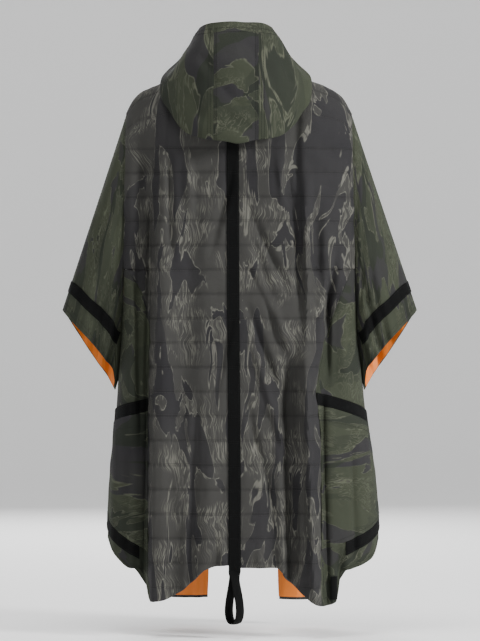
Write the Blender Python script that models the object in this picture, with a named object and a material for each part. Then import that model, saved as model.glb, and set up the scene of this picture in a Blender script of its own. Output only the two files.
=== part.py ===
"""Quilted hooded poncho in its worn form, seen as a maker would cut and sew it.

Every cut piece is one thin closed wall: two back halves under a webbing strip, two front halves
open at the centre, side panels let in below the armholes, wide sleeves cut in one over the arm,
a three-piece hood lying down on the back, linings where they show, side pockets and webbing.

Metres, +Z up. The front faces -Y and the back +Y; +X is the wearer's left. The origin lies
between the shoulders, where the wearer carries the garment.
"""
import math

import bpy
import numpy as np

# ---- driving sizes ---------------------------------------------------------------------------
QUILTED_WALL = 0.003          # shell, wadding and lining stitched together
PLAIN_WALL = 0.002            # sleeves, side panels and hood
LINING_WALL = 0.001
WEBBING_WALL = 0.0014
POCKET_WALL = 0.0015
SEAM_GAP = 0.0003             # between neighbouring pieces
CHANNEL = 0.052               # height of one quilted channel
RELIEF = 0.0016               # how far a channel's crest stands above its stitching
WEBBING_WIDTH = 0.026

CHEST_Z = -0.131              # the quilting line where the shoulders' rounding ends
CHANNELS_DOWN = 16            # level channels below that line
YOKE_ROWS = 3                 # channels that fan out over the shoulders
UNDERARM_Z = -0.628
GORE_TOP = 5                  # the quilting line at which the side panel begins

NECK_HALF = 0.078
NECK_SIDE_Z = 0.055
NECK_Y = {1: 0.066, -1: 0.078}        # keyed by face: 1 back, -1 front
NECK_Z = {1: 0.046, -1: -0.004}
NECK_SHARE = 0.26             # part of a half's top edge that is neckline

BACK_COLUMNS = 12
FRONT_COLUMNS = 8
SIDE_COLUMNS = {1: 8, -1: 5}
SLEEVE_ROWS = (0.0, 0.24, 0.46, 0.66)  # shares of the way from armhole to the webbing

# Worn section at each height: half widths, depths of back and front at the centre, and the
# y, distance inwards, of the armhole or side seam. "wide_y" is where the half width is met.
SECTION_COLUMNS = ("z", "left", "right", "back", "front", "wide_y", "edge_y", "edge_in")
SECTIONS = (
    (-0.131, 0.2500, 0.2500, 0.128, 0.124, 0.030, 0.066, 0.006),
    (-0.250, 0.2520, 0.2520, 0.138, 0.134, 0.036, 0.072, 0.006),
    (-0.380, 0.2530, 0.2540, 0.146, 0.140, 0.036, 0.068, 0.005),
    (-0.500, 0.2560, 0.2565, 0.151, 0.145, 0.022, 0.048, 0.004),
    (-0.599, 0.2600, 0.2640, 0.154, 0.149, 0.006, 0.018, 0.001),
    (-0.628, 0.2615, 0.2665, 0.155, 0.150, 0.000, 0.000, 0.000),
    (-0.720, 0.2680, 0.2770, 0.159, 0.153, 0.000, 0.000, 0.000),
    (-0.840, 0.2780, 0.2935, 0.166, 0.158, 0.000, 0.000, 0.000),
    (-0.950, 0.2840, 0.3020, 0.173, 0.163, 0.000, 0.000, 0.000),
    (-1.130, 0.2880, 0.3060, 0.183, 0.170, 0.000, 0.000, 0.000),
)
SECTION_FULLNESS = 0.22       # how much fuller than an ellipse a section is

# Shoulder line from the neck point to the shoulder point.
SHOULDER_X = (0.078, 0.120, 0.160, 0.190, 0.2085, 0.2215, 0.2300, 0.2370, 0.2430)
SHOULDER_Z = (0.055, 0.034, 0.0175, 0.005, -0.0040, -0.0150, -0.0260, -0.0380, -0.0500)

# x of the centre line: the webbing leans to the wearer's left; the fronts part towards the hem.
CENTRE_Z = (-1.130, -0.800, -0.500, -0.150, 0.100)
CENTRE_X = {
    (1, 1): (0.0090, 0.0095, 0.0120, 0.0133, 0.0120),
    (1, -1): (0.0090, 0.0095, 0.0120, 0.0133, 0.0120),
    (-1, 1): (0.0700, 0.0560, 0.0300, 0.0060, 0.0030),
    (-1, -1): (-0.0920, -0.0700, -0.0350, -0.0060, -0.0030),
}

# x of the seam between a back or front half and its side panel, by height.
PANEL_SEAM = {
    (1, 1): ((-1.130, 0.186), (-1.020, 0.193), (-0.650, 0.194), (-0.520, 0.190),
             (-0.450, 0.204), (-0.386, 0.241)),
    (1, -1): ((-1.130, 0.174), (-0.757, 0.173), (-0.654, 0.164), (-0.560, 0.178),
              (-0.484, 0.203), (-0.386, 0.242)),
    (-1, 1): ((-1.130, 0.185), (-0.650, 0.182), (-0.484, 0.206), (-0.386, 0.241)),
    (-1, -1): ((-1.130, 0.190), (-0.650, 0.184), (-0.484, 0.206), (-0.386, 0.242)),
}

# Hem height against distance from the centre, each half from its centre line to its side seam.
HEM = {
    (1, 1): ((0.000, -1.019), (0.045, -1.021), (0.069, -1.028), (0.120, -1.073), (0.166, -1.096),
             (0.187, -1.098), (0.203, -1.045), (0.219, -1.031), (0.235, -1.030), (0.256, -1.015),
             (0.275, -0.993), (0.286, -0.968)),
    (1, -1): ((0.000, -1.025), (0.080, -1.026), (0.103, -1.051), (0.135, -1.082), (0.157, -1.100),
              (0.180, -1.107), (0.206, -1.100), (0.219, -1.036), (0.243, -1.030), (0.280, -1.015),
              (0.297, -0.993), (0.305, -0.965)),
    (-1, 1): ((0.000, -1.111), (0.140, -1.113), (0.190, -1.095), (0.225, -1.050), (0.262, -1.015),
              (0.286, -0.968)),
    (-1, -1): ((0.000, -1.113), (0.140, -1.118), (0.195, -1.098), (0.235, -1.050),
               (0.275, -1.012), (0.305, -0.965)),
}
HEM_REFERENCE_Z = -1.0        # the section that a hem's distances are measured on

# Folds: x at the top and bottom of the fold line, the heights between which it runs, its reach
# towards the centre and towards the side, and its depth (a ridge is positive).
FOLD_COLUMNS = ("x_top", "x_low", "top", "low", "inner", "outer", "depth")
FOLDS = {
    (1, 1): {
        "deep pleat": (0.190, 0.208, -0.070, -1.300, 0.032, 0.046, -0.036),
        "pleat edge": (0.160, 0.176, -0.300, -1.300, 0.034, 0.030, 0.012),
        "soft trough": (0.095, 0.125, -0.180, -0.860, 0.040, 0.034, -0.009),
        "hem swell": (0.055, 0.080, -0.700, -1.300, 0.034, 0.034, 0.010),
        "hem trough": (0.125, 0.140, -0.860, -1.300, 0.030, 0.026, -0.008),
        "tail crease": (0.232, 0.246, -0.720, -1.300, 0.018, 0.022, -0.010),
    },
    (1, -1): {
        "yoke trough": (0.118, 0.135, -0.060, -0.520, 0.020, 0.018, -0.013),
        "blade ridge": (0.146, 0.158, -0.160, -0.540, 0.016, 0.014, 0.009),
        "blade trough": (0.170, 0.174, -0.230, -0.540, 0.014, 0.014, -0.012),
        "armhole pleat": (0.192, 0.200, -0.360, -0.720, 0.026, 0.040, -0.018),
        "side ridge": (0.236, 0.262, -0.160, -0.700, 0.022, 0.022, 0.010),
        "tail ridge": (0.140, 0.166, -0.500, -1.300, 0.024, 0.030, 0.024),
        "tail trough": (0.108, 0.120, -0.540, -1.300, 0.026, 0.022, -0.024),
        "inner trough": (0.060, 0.078, -0.740, -1.300, 0.024, 0.022, -0.010),
        "drag fold": (0.020, 0.105, -0.260, -0.640, 0.018, 0.018, -0.007),
        "tail notch": (0.213, 0.215, -0.940, -1.300, 0.012, 0.018, -0.016),
    },
    (-1, 1): {
        "front pleat": (0.180, 0.200, -0.120, -1.300, 0.040, 0.044, -0.020),
        "chest trough": (0.095, 0.130, -0.200, -0.900, 0.036, 0.034, -0.010),
        "hem ridge": (0.120, 0.150, -0.620, -1.300, 0.034, 0.030, 0.014),
    },
    (-1, -1): {
        "front pleat": (0.176, 0.205, -0.150, -1.300, 0.040, 0.044, -0.019),
        "chest trough": (0.100, 0.120, -0.160, -0.820, 0.034, 0.036, -0.011),
        "hem ridge": (0.125, 0.160, -0.660, -1.300, 0.034, 0.030, 0.015),
    },
}
FOLD_FADE = 0.11              # length over which a fold line comes and goes

# Rows of a side panel: height at the panel seam and at the side edge, and what starts there.
# The first six side heights lie on the armhole; "station" rows share the quilting lines' ends.
SIDE_ROWS = {
    1: ((-0.391, -0.391, "station"), (-0.443, -0.443, "station"), (-0.495, -0.495, "station"),
        (-0.547, -0.547, "station"), (-0.599, -0.599, "station"), (-0.651, -0.628, "station"),
        (-0.667, -0.694, "pocket webbing"), (-0.694, -0.724, "pocket"),
        (-0.703, -0.742, "station"), (-0.755, -0.780, "station"), (-0.807, -0.815, "station"),
        (-0.859, -0.848, "station"), (-0.911, -0.872, "station"), (-0.963, -0.892, "station"),
        (-0.994, -0.908, "hem webbing"), (-1.021, -0.940, "tail")),
    -1: ((-0.391, -0.391, "station"), (-0.443, -0.443, "station"), (-0.495, -0.495, "station"),
         (-0.547, -0.547, "station"), (-0.599, -0.599, "station"), (-0.651, -0.628, "station"),
         (-0.654, -0.699, "pocket webbing"), (-0.680, -0.730, "pocket"),
         (-0.703, -0.748, "station"), (-0.755, -0.790, "station"), (-0.807, -0.828, "station"),
         (-0.859, -0.862, "station"), (-0.911, -0.888, "station"), (-0.963, -0.906, "station"),
         (-0.990, -0.918, "hem webbing"), (-1.020, -0.944, "tail")),
}

# Half of a sleeve's hem, from the arm line (share 0) to the underarm (share 1): distance from
# the centre, height and y of the back half, height and y of the front half.
SLEEVE_HEM_COLUMNS = ("share", "x", "back_z", "back_y", "front_z", "front_y")
SLEEVE_HEM = (
    (0.00, 0.3830, -0.477, 0.000, -0.477, 0.000),
    (0.06, 0.3780, -0.483, 0.026, -0.484, -0.026),
    (0.16, 0.3600, -0.503, 0.046, -0.508, -0.048),
    (0.40, 0.3200, -0.545, 0.058, -0.566, -0.062),
    (0.65, 0.2900, -0.582, 0.052, -0.612, -0.058),
    (0.88, 0.2760, -0.612, 0.026, -0.641, -0.032),
    (1.00, 0.2770, -0.652, 0.000, -0.652, 0.000),
)
SLEEVE_WEBBING = (0.066, 0.042)       # distances of its two edges from the sleeve's hem
SLEEVE_BELLY = 0.012
RIGHT_SLEEVE_WIDER = 0.003

# Hood, lying down: for each angle round the neck from the centre back, the ring of the neck seam,
# the standing fold above it, the bag's bottom fold, the outer swell and the rim.
HOOD_COLUMNS = ("angle", "neck_r", "neck_z", "stand_r", "stand_z", "bag_r", "bag_z",
                "swell_r", "swell_z", "rim_r", "rim_z")
HOOD_SECTIONS = (
    (0, 0.067, 0.048, 0.086, 0.066, 0.186, -0.124, 0.176, 0.020, 0.104, 0.141),
    (30, 0.069, 0.050, 0.092, 0.072, 0.187, -0.108, 0.172, 0.022, 0.101, 0.139),
    (55, 0.073, 0.053, 0.098, 0.076, 0.188, -0.040, 0.164, 0.034, 0.094, 0.133),
    (75, 0.077, 0.056, 0.094, 0.070, 0.167, 0.020, 0.142, 0.052, 0.087, 0.124),
    (95, 0.079, 0.056, 0.088, 0.066, 0.118, 0.054, 0.113, 0.086, 0.084, 0.114),
    (120, 0.079, 0.044, 0.085, 0.054, 0.101, 0.060, 0.098, 0.078, 0.084, 0.096),
    (150, 0.080, 0.014, 0.084, 0.026, 0.091, 0.038, 0.092, 0.056, 0.086, 0.072),
    (178, 0.081, -0.004, 0.084, 0.006, 0.087, 0.020, 0.088, 0.034, 0.087, 0.048),
)
HOOD_R_STOPS = (0.0, 0.10, 0.56, 0.78, 1.0)   # where along the profile those radii lie
HOOD_Z_STOPS = (0.0, 0.10, 0.50, 0.74, 1.0)   # where along the profile those heights lie
HOOD_END_ANGLE = 177.0
HOOD_SEAM_SHARE = 0.0045
NECK_LIFT = 0.0018
HOOD_STRIP_HALF = 0.048
HOOD_CENTRE_X = 0.006
HOOD_ROWS = 17
HOOD_SIDE_COLUMNS = 10
HOOD_STRIP_COLUMNS = 4

LOOP_TURN = math.radians(50)  # how far the hanging loop's strip is turned from the back's plane
LOOP_HALF = 0.016
LOOP_BOTTOM_Z = -1.140
LOOP_STEPS = 14
LOOP_END_TURN = 1.09          # above 1, the returning strand stays turned with the first
LOOP_PARTING = 0.0042         # from the loop's front strand to its returning one at the hem

LINING_TRIM = 5               # sleeve columns by the underarm that the lining stops short of
LINING_FROM = 17              # the front lining shows from this row of the front halves down
LINING_HEM = 0.011            # the shell's turned hem below the lining

TAIL_START = {1: 1, -1: 2}    # the hem webbing's first column from the panel seam

COLOURS = {
    "back_print": (0.058, 0.058, 0.056), "green_print": (0.048, 0.054, 0.042),
    "hood_print": (0.062, 0.066, 0.052), "webbing": (0.010, 0.011, 0.011),
    "lining": (0.56, 0.17, 0.030), "pocket_print": (0.046, 0.052, 0.038),
}
ROUGHNESS = {"webbing": 0.85, "lining": 0.6}
FACES = {1: "back", -1: "front"}
HANDS = {1: "left", -1: "right"}


# ---- the worn surface ------------------------------------------------------------------------
def smooth(where, stations, values):
    """Values at the given places on a curve through the stations that never overshoots them."""
    xs = np.asarray(stations, float)
    ys = np.asarray(values, float)
    if xs[0] > xs[-1]:
        xs, ys = xs[::-1], ys[::-1]
    steps = np.diff(xs)
    slopes = np.diff(ys) / steps
    tangents = np.zeros_like(ys)
    product = slopes[1:] * slopes[:-1]
    total = np.where(np.abs(slopes[1:] + slopes[:-1]) < 1e-12, 1.0, slopes[1:] + slopes[:-1])
    tangents[1:-1] = np.where(product > 0, 2 * product / total, 0.0)
    tangents[0], tangents[-1] = slopes[0], slopes[-1]
    where = np.clip(np.asarray(where, float), xs[0], xs[-1])
    at = np.clip(np.searchsorted(xs, where) - 1, 0, len(steps) - 1)
    width = steps[at]
    u = (where - xs[at]) / width
    rise = u * u * (3 - 2 * u)
    return (ys[at] * (1 - rise) + ys[at + 1] * rise
            + width * (tangents[at] * u * (1 - u) ** 2 - tangents[at + 1] * u * u * (1 - u)))


def step(where, start, end):
    """A soft step from 0 at start to 1 at end."""
    u = np.clip((where - start) / (end - start), 0.0, 1.0)
    return u * u * (3 - 2 * u)


SECTION = dict(zip(SECTION_COLUMNS, zip(*SECTIONS)))


def section(face, hand, share, z):
    """Point of the hanging cloth: share 0 at the centre line, 1 at the armhole or side seam."""
    heights = SECTION["z"]
    half = smooth(z, heights, SECTION[HANDS[hand]])
    depth = smooth(z, heights, SECTION[FACES[face]])
    wide_y = smooth(z, heights, SECTION["wide_y"])
    edge_y = smooth(z, heights, SECTION["edge_y"])
    edge_x = half - smooth(z, heights, SECTION["edge_in"])
    centre = hand * smooth(z, CENTRE_Z, CENTRE_X[face, hand])
    ratio = (edge_y - wide_y) / (depth - wide_y)
    cosine = ratio / (1 + SECTION_FULLNESS)
    for _ in range(4):
        value = cosine * (1 + SECTION_FULLNESS * (1 - cosine ** 2))
        cosine = cosine - (value - ratio) / (1 + SECTION_FULLNESS * (1 - 3 * cosine ** 2))
    edge_angle = np.arccos(cosine)
    angle = share * edge_angle
    fill = np.cos(angle) * (1 + SECTION_FULLNESS * np.sin(angle) ** 2)
    reach = edge_x - centre - (half - centre) * np.sin(edge_angle)
    x = centre + (half - centre) * np.sin(angle) + reach * share ** 4
    y = wide_y + (depth - wide_y) * fill
    y = y + folds(face, hand, x, z) * (1 - share ** 14)
    return np.stack([hand * x, face * y, z + 0 * x], -1)


def folds(face, hand, x, z):
    """Depth of all folds of one half at distance x from the middle and height z."""
    total = 0.0 * x
    for fold in FOLDS[face, hand].values():
        row = dict(zip(FOLD_COLUMNS, fold))
        along = np.clip((row["top"] - z) / (row["top"] - max(row["low"], -1.12)), 0, 1)
        line = row["x_top"] + (row["x_low"] - row["x_top"]) * along
        off = x - line
        width = np.where(off < 0, row["inner"], row["outer"])
        shape = np.cos(np.clip(off / (2 * width), -0.5, 0.5) * np.pi) ** 2
        fade = (step(-z, -row["top"], -row["top"] + FOLD_FADE)
                * (1 - step(-z, -row["low"] - FOLD_FADE, -row["low"])))
        total = total + row["depth"] * shape * fade
    return total


def cloth(face, hand, share, h):
    """Point of a half; h <= 0 hangs below the chest line, h from 0 to 1 rounds the shoulder."""
    share, h = np.broadcast_arrays(np.asarray(share, float), np.asarray(h, float))
    hung = section(face, hand, share, CHEST_Z + np.minimum(h, 0.0))
    chest = section(face, hand, share, np.full(share.shape, CHEST_Z))
    wide = section(face, hand, np.ones(share.shape), np.full(share.shape, CHEST_Z))
    notch = section(face, hand, np.full(share.shape, NECK_SHARE), np.full(share.shape, CHEST_Z))
    centre = hand * smooth(0.04, CENTRE_Z, CENTRE_X[face, hand])
    quarter = np.clip(share / NECK_SHARE, 0, 1) * math.pi / 2
    beyond = np.clip((chest[..., 0] - notch[..., 0]) / (wide[..., 0] - notch[..., 0]), 0, 1)
    on_neck = share < NECK_SHARE
    top_x = np.where(on_neck, centre + (NECK_HALF - centre) * np.sin(quarter),
                     NECK_HALF + (SHOULDER_X[-1] - NECK_HALF) * beyond)
    top_y = np.where(on_neck, NECK_Y[face] * np.cos(quarter), 0.0)
    top_z = np.where(on_neck, NECK_Z[face] + (NECK_SIDE_Z - NECK_Z[face]) * (1 - np.cos(quarter)),
                     smooth(top_x, SHOULDER_X, SHOULDER_Z))
    turn = (1 - np.clip(h, 0, 1)) * math.pi / 2
    x = hand * top_x + (chest[..., 0] - hand * top_x) * (1 - np.cos(turn))
    y = face * top_y + (chest[..., 1] - face * top_y) * np.sin(turn)
    z = CHEST_Z + (top_z - CHEST_Z) * np.cos(turn)
    return np.where((h > 0)[..., None], np.stack([x, y, z], -1), hung)


def outward(face, hand, share, h):
    """Unit normals of the cloth, pointing out of the garment."""
    d = 1e-4
    across = cloth(face, hand, share + d, h) - cloth(face, hand, share - d, h)
    down = cloth(face, hand, share, h - d) - cloth(face, hand, share, h + d)
    normal = np.cross(across, down) * (face * hand)
    normal[np.abs(share) < 0.004, 0] = 0.0
    return normal / np.linalg.norm(normal, axis=-1, keepdims=True)


def hem_height(face, hand, share):
    """Height of the hem at a share of a half."""
    reference = section(face, hand, share, np.full(np.shape(share), HEM_REFERENCE_Z))
    distance = np.abs(reference[..., 0] * hand)
    start = abs(smooth(HEM_REFERENCE_Z, CENTRE_Z, CENTRE_X[face, hand])) if face < 0 else 0.0
    table = HEM[face, hand]
    return smooth(np.maximum(distance, start * 0.5), [x for x, _ in table], [z for _, z in table])


def seam_share(face, hand, z):
    """Share of a half at which its side panel is sewn on, 1 above the side panel."""
    table = PANEL_SEAM[face, hand]
    wanted = smooth(z, [row[0] for row in table], [row[1] for row in table])
    shares = np.linspace(0.3, 1.0, 141)
    xs = np.abs(section(face, hand, shares, np.full(shares.shape, float(z)))[:, 0])
    if z > CHEST_Z - GORE_TOP * CHANNEL + 1e-6:
        return 1.0
    return float(np.interp(wanted, np.maximum.accumulate(xs), shares))


def even_columns(path_shares, points, count, first=None, ends=(SEAM_GAP / 2, SEAM_GAP / 2)):
    """Shares at which columns stand evenly along the cloth, with a named first column width."""
    lengths = np.concatenate([[0], np.cumsum(np.linalg.norm(np.diff(points, axis=0), axis=1))])
    start, end = ends[0], lengths[-1] - ends[1]
    if first is None:
        targets = np.linspace(start, end, count + 1)
    else:
        targets = np.concatenate([[start], np.linspace(first, end, count)])
    return np.interp(targets, lengths, path_shares)


# ---- grids of points -------------------------------------------------------------------------
def half_rows(face, hand):
    """Heights h of a half's quilting lines, with None for the two rows that fan to the hem."""
    yoke = [1 - i / YOKE_ROWS for i in range(YOKE_ROWS + 1)]
    return yoke + [-CHANNEL * i for i in range(1, CHANNELS_DOWN + 1)] + [None, None]


def half_grid(face, hand, columns, webbing=None):
    """Points and normals of a back or front half along its quilting lines."""
    points, normals = [], []
    rows = half_rows(face, hand)
    last = -CHANNEL * CHANNELS_DOWN
    for index, h in enumerate(rows):
        fan = 0.0 if h is not None else (0.5 if index == len(rows) - 2 else 1.0)
        level = last if h is None else h

        def heights(share):
            drop = hem_height(face, hand, share) - CHEST_Z
            return level + (drop - level) * fan if fan else np.full(np.shape(share), level)

        edge = 1.0
        if level < 0:
            edge = seam_share(face, hand, CHEST_Z + level)
            for _ in range(3 if fan else 0):
                edge = seam_share(face, hand, CHEST_Z + float(heights(np.array([edge]))[0]))
        fine = np.linspace(0, edge, 161)
        path = cloth(face, hand, fine, heights(fine))
        shares = even_columns(fine, path, columns, webbing)
        h_row = heights(shares)
        if index < YOKE_ROWS:
            corner = int(np.argmin(np.abs(shares - NECK_SHARE)))
            shares[corner] += (NECK_SHARE - shares[corner]) * (1 - index / YOKE_ROWS)
        if index == 0:
            h_row = h_row - 0.0012
        points.append(cloth(face, hand, shares, h_row))
        normals.append(outward(face, hand, shares, h_row))
    normals = np.array(normals)
    for _ in range(2):
        seam = normals[:, -1].copy()
        seam[1:-1] += (normals[:-2, -1] + normals[2:, -1]) / 2
        normals[:, -1] = seam / np.linalg.norm(seam, axis=1, keepdims=True)
    return np.array(points), normals


def on_chord(z, edge_points):
    """The point of a seam's straight stretches at height z."""
    heights = edge_points[:, 2]
    order = np.argsort(heights)
    return np.array([np.interp(z, heights[order], edge_points[order, axis]) for axis in range(3)])


def side_grid(face, hand, panel_edge, edge_normals):
    """Points and normals of a side panel between its panel seam and the armhole or side seam."""
    rows = [(a, b, kind) for a, b, kind in SIDE_ROWS[hand]] + [(None, None, "hem fan"),
                                                              (None, None, "hem")]
    below = panel_edge[:, 2] < SIDE_ROWS[hand][0][0] + 0.001
    stations, seam_normals = panel_edge[below], edge_normals[below]
    points, normals = [], []
    used = 0
    tail_seam, tail_side, _ = SIDE_ROWS[hand][-1]
    for seam_z, side_z, kind in rows:
        fan = {"hem fan": 0.5, "hem": 1.0}.get(kind, 0.0)
        start_z = tail_seam if seam_z is None else seam_z
        end_z = tail_side if side_z is None else side_z
        edge = seam_share(face, hand, start_z)
        for _ in range(3 if fan else 0):
            low = float(hem_height(face, hand, np.array([edge]))[0])
            edge = seam_share(face, hand, start_z + (low - start_z) * fan)
        blend = np.linspace(0, 1, 121)
        shares = edge + (1 - edge) * blend
        level = start_z + (end_z - start_z) * blend
        if fan:
            level = level + (hem_height(face, hand, shares) - level) * fan
        path = cloth(face, hand, shares, level - CHEST_Z)
        placed = even_columns(blend, path, SIDE_COLUMNS[face])
        share_row = np.interp(placed, blend, shares)
        h_row = np.interp(placed, blend, level) - CHEST_Z
        row_points = cloth(face, hand, share_row, h_row)
        row_normals = outward(face, hand, share_row, h_row)
        if kind in ("station", "hem fan", "hem"):
            row_points[0] = stations[used]
            used += 1
        else:
            row_points[0] = on_chord(row_points[0][2], stations)
        row_normals[0] = seam_normals[used - 1]
        if row_points[-1][2] < UNDERARM_Z + 0.001:
            row_normals[-1] = flat_normal(row_normals[-1])
        away = row_points[1] - row_points[0]
        row_points[0] += away / np.linalg.norm(away) * SEAM_GAP
        points.append(row_points)
        normals.append(row_normals)
    return np.array(points), np.array(normals)


def flat_normal(normal):
    """A side seam's normal, shared by the panels in front of it and behind it."""
    shared = normal * np.array([1.0, 0.0, 1.0])
    return shared / np.linalg.norm(shared)


def sleeve_hem(face, hand, share):
    """Point of a sleeve's hem, share 0 at the arm line and 1 at the underarm."""
    table = dict(zip(SLEEVE_HEM_COLUMNS, zip(*SLEEVE_HEM)))
    stations = table["share"]
    x = smooth(share, stations, table["x"])
    y = smooth(share, stations, table[FACES[face] + "_y"])
    z = smooth(share, stations, table[FACES[face] + "_z"])
    if hand < 0:
        x = x + RIGHT_SLEEVE_WIDER
    return np.array([hand * x, y, z])


def armhole(hand, halves, sides):
    """Armhole points and normals from the underarm over the shoulder and down again in front."""
    def climb(face, part):
        rising = []
        for grids, top in ((sides, GORE_TOP + 1), (halves, YOKE_ROWS + GORE_TOP)):
            edge = grids[face, hand][part][:top, -1][::-1]
            if part == 0:
                away = edge - grids[face, hand][0][:top, -2][::-1]
                edge = edge + away / np.linalg.norm(away, axis=1, keepdims=True) * SEAM_GAP
            rising.append(edge)
        return np.concatenate(rising)
    both = []
    for part in (0, 1):
        back, front = climb(1, part), climb(-1, part)
        both.append(np.concatenate([back[:-1], [(back[-1] + front[-1]) / 2], front[:-1][::-1]]))
    return both


def sleeve_grid(hand, edge):
    """Sleeve rows from the armhole to the hem, the columns round the arm, and the band's reach."""
    middle = len(edge) // 2
    steps = np.linalg.norm(np.diff(edge, axis=0), axis=1)
    run = np.concatenate([[0], np.cumsum(steps)])
    shares = np.where(np.arange(len(edge)) <= middle, 1 - run / run[middle],
                      (run - run[middle]) / (run[-1] - run[middle]))
    faces = [1 if j <= middle else -1 for j in range(len(edge))]
    hem = np.array([sleeve_hem(face, hand, share) for face, share in zip(faces, shares)])
    hem[0, 1] += SEAM_GAP / 2
    hem[-1, 1] -= SEAM_GAP / 2
    edge = edge.copy()
    edge[0, 1] += SEAM_GAP / 2
    edge[-1, 1] -= SEAM_GAP / 2
    tangent = np.gradient(hem, axis=0)
    tangent[middle] = hem[middle] - hem[middle - 1]
    tangent /= np.linalg.norm(tangent, axis=1, keepdims=True)
    reach = np.linalg.norm(np.cross(hem - edge, tangent), axis=1)
    band_top = 1 - SLEEVE_WEBBING[0] / reach
    band_low = 1 - SLEEVE_WEBBING[1] / reach
    reached = band_top > 0.25
    band_top = np.maximum(band_top, 0.30)
    band_low = np.maximum(band_low, 0.62)
    rows = [band_top * part / 0.9 for part in SLEEVE_ROWS] + [band_top, band_low, 1 + 0 * band_top]
    belly = np.sin(np.pi * shares) ** 0.7 * np.array(faces)
    grid = []
    for share in rows:
        points = edge * (1 - share)[:, None] + hem * share[:, None]
        points[:, 1] += SLEEVE_BELLY * belly * np.sin(np.pi * share)
        grid.append(points)
    return np.array(grid), reached


def hood_profile(angle, along):
    """Radius and height of the hood's cloth at an angle in degrees and a share of its profile."""
    table = dict(zip(HOOD_COLUMNS, zip(*HOOD_SECTIONS)))
    names = ("neck", "stand", "bag", "swell", "rim")
    r_stations = [smooth(angle, table["angle"], table[name + "_r"]) for name in names]
    z_stations = [smooth(angle, table["angle"], table[name + "_z"]) for name in names]
    r = smooth(along, HOOD_R_STOPS, r_stations)
    z = smooth(along, HOOD_Z_STOPS, z_stations)
    return float(r), float(z)


def neck_point(hand, angle, necks):
    """Point on the neckline's stretches that faces a given angle from the centre back."""
    face = 1 if angle <= 90 else -1
    line = necks[face, hand]
    line = line[np.abs(line[:, 0]) < NECK_HALF + 0.002]
    facing = np.degrees(np.arctan2(hand * line[:, 0], line[:, 1]))
    order = np.argsort(facing)
    return np.array([np.interp(angle, facing[order], line[order, axis]) for axis in range(3)])


def hood_point(hand, across, along, necks):
    """Hood cloth on one side: across 0 to 1 spans the centre strip, 1 to 2 the side piece."""
    strip = math.degrees(math.asin(min(0.8, HOOD_STRIP_HALF / 0.1)))
    for _ in range(5):
        r, _z = hood_profile(strip, along)
        strip = math.degrees(math.asin(min(0.8, HOOD_STRIP_HALF / r)))
    if across <= 1:
        r_mid, _z = hood_profile(strip * across, along)
        angle = math.degrees(math.asin(min(0.8, HOOD_STRIP_HALF * across / r_mid)))
    else:
        angle = strip + (HOOD_END_ANGLE - strip) * (across - 1)
    r, z = hood_profile(angle, along)
    turn = math.radians(angle)
    point = np.array([HOOD_CENTRE_X * step(along, 0.0, 0.4) * (1 - step(angle, 90, 170))
                      + hand * r * math.sin(turn), r * math.cos(turn), z])
    neck = neck_point(hand, angle, necks) + np.array([0, 0, NECK_LIFT])
    r0, z0 = hood_profile(angle, 0.0)
    start = np.array([hand * r0 * math.sin(turn), r0 * math.cos(turn), z0])
    return point + (neck - start) * max(0.0, 1 - along / 0.12)


def hood_grid(hand, columns, necks):
    """Points and normals of a hood piece for one side, rows from the neck seam to the rim."""
    d = 1e-3
    rows = np.linspace(0, 1, HOOD_ROWS + 1) ** 0.92
    points = np.array([[hood_point(hand, c, s, necks) for c in columns] for s in rows])
    normals = []
    for s in rows:
        row = []
        for c in columns:
            across = hood_point(hand, c + d, s, necks) - hood_point(hand, abs(c - d), s, necks)
            if c < d:
                across = np.array([hand, 0.0, 0.0])
            along = (hood_point(hand, c, min(1, s + d), necks)
                     - hood_point(hand, c, max(0, s - d), necks))
            normal = np.cross(along, across) * hand
            row.append(normal / np.linalg.norm(normal))
        normals.append(row)
    return points, np.array(normals)


# ---- solids ----------------------------------------------------------------------------------
def material(slot):
    """The material of one slot, made once."""
    if slot in bpy.data.materials:
        return bpy.data.materials[slot]
    made = bpy.data.materials.new(slot)
    made.use_nodes = True
    shader = made.node_tree.nodes["Principled BSDF"]
    shader.inputs["Base Color"].default_value = (*COLOURS[slot], 1)
    shader.inputs["Roughness"].default_value = ROUGHNESS.get(slot, 0.75)
    shader.inputs["Metallic"].default_value = 0.0
    return made


def add_piece(name, vertices, faces, slot):
    """One closed object from vertices and outward faces."""
    mesh = bpy.data.meshes.new(name)
    mesh.from_pydata([tuple(map(float, v)) for v in vertices], [], faces)
    mesh.validate()
    mesh.shade_smooth()
    mesh.set_sharp_from_angle(angle=math.radians(40))
    mesh.materials.append(material(slot))
    piece = bpy.data.objects.new(name, mesh)
    bpy.context.collection.objects.link(piece)
    if signed_volume(mesh) < 0:
        mesh.flip_normals()
    return piece


def signed_volume(mesh):
    """Volume inside a mesh's faces, negative where they point inwards."""
    mesh.calc_loop_triangles()
    total = 0.0
    for triangle in mesh.loop_triangles:
        a, b, c = (mesh.vertices[i].co for i in triangle.vertices)
        total += a.dot(b.cross(c)) / 6
    return total


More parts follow.
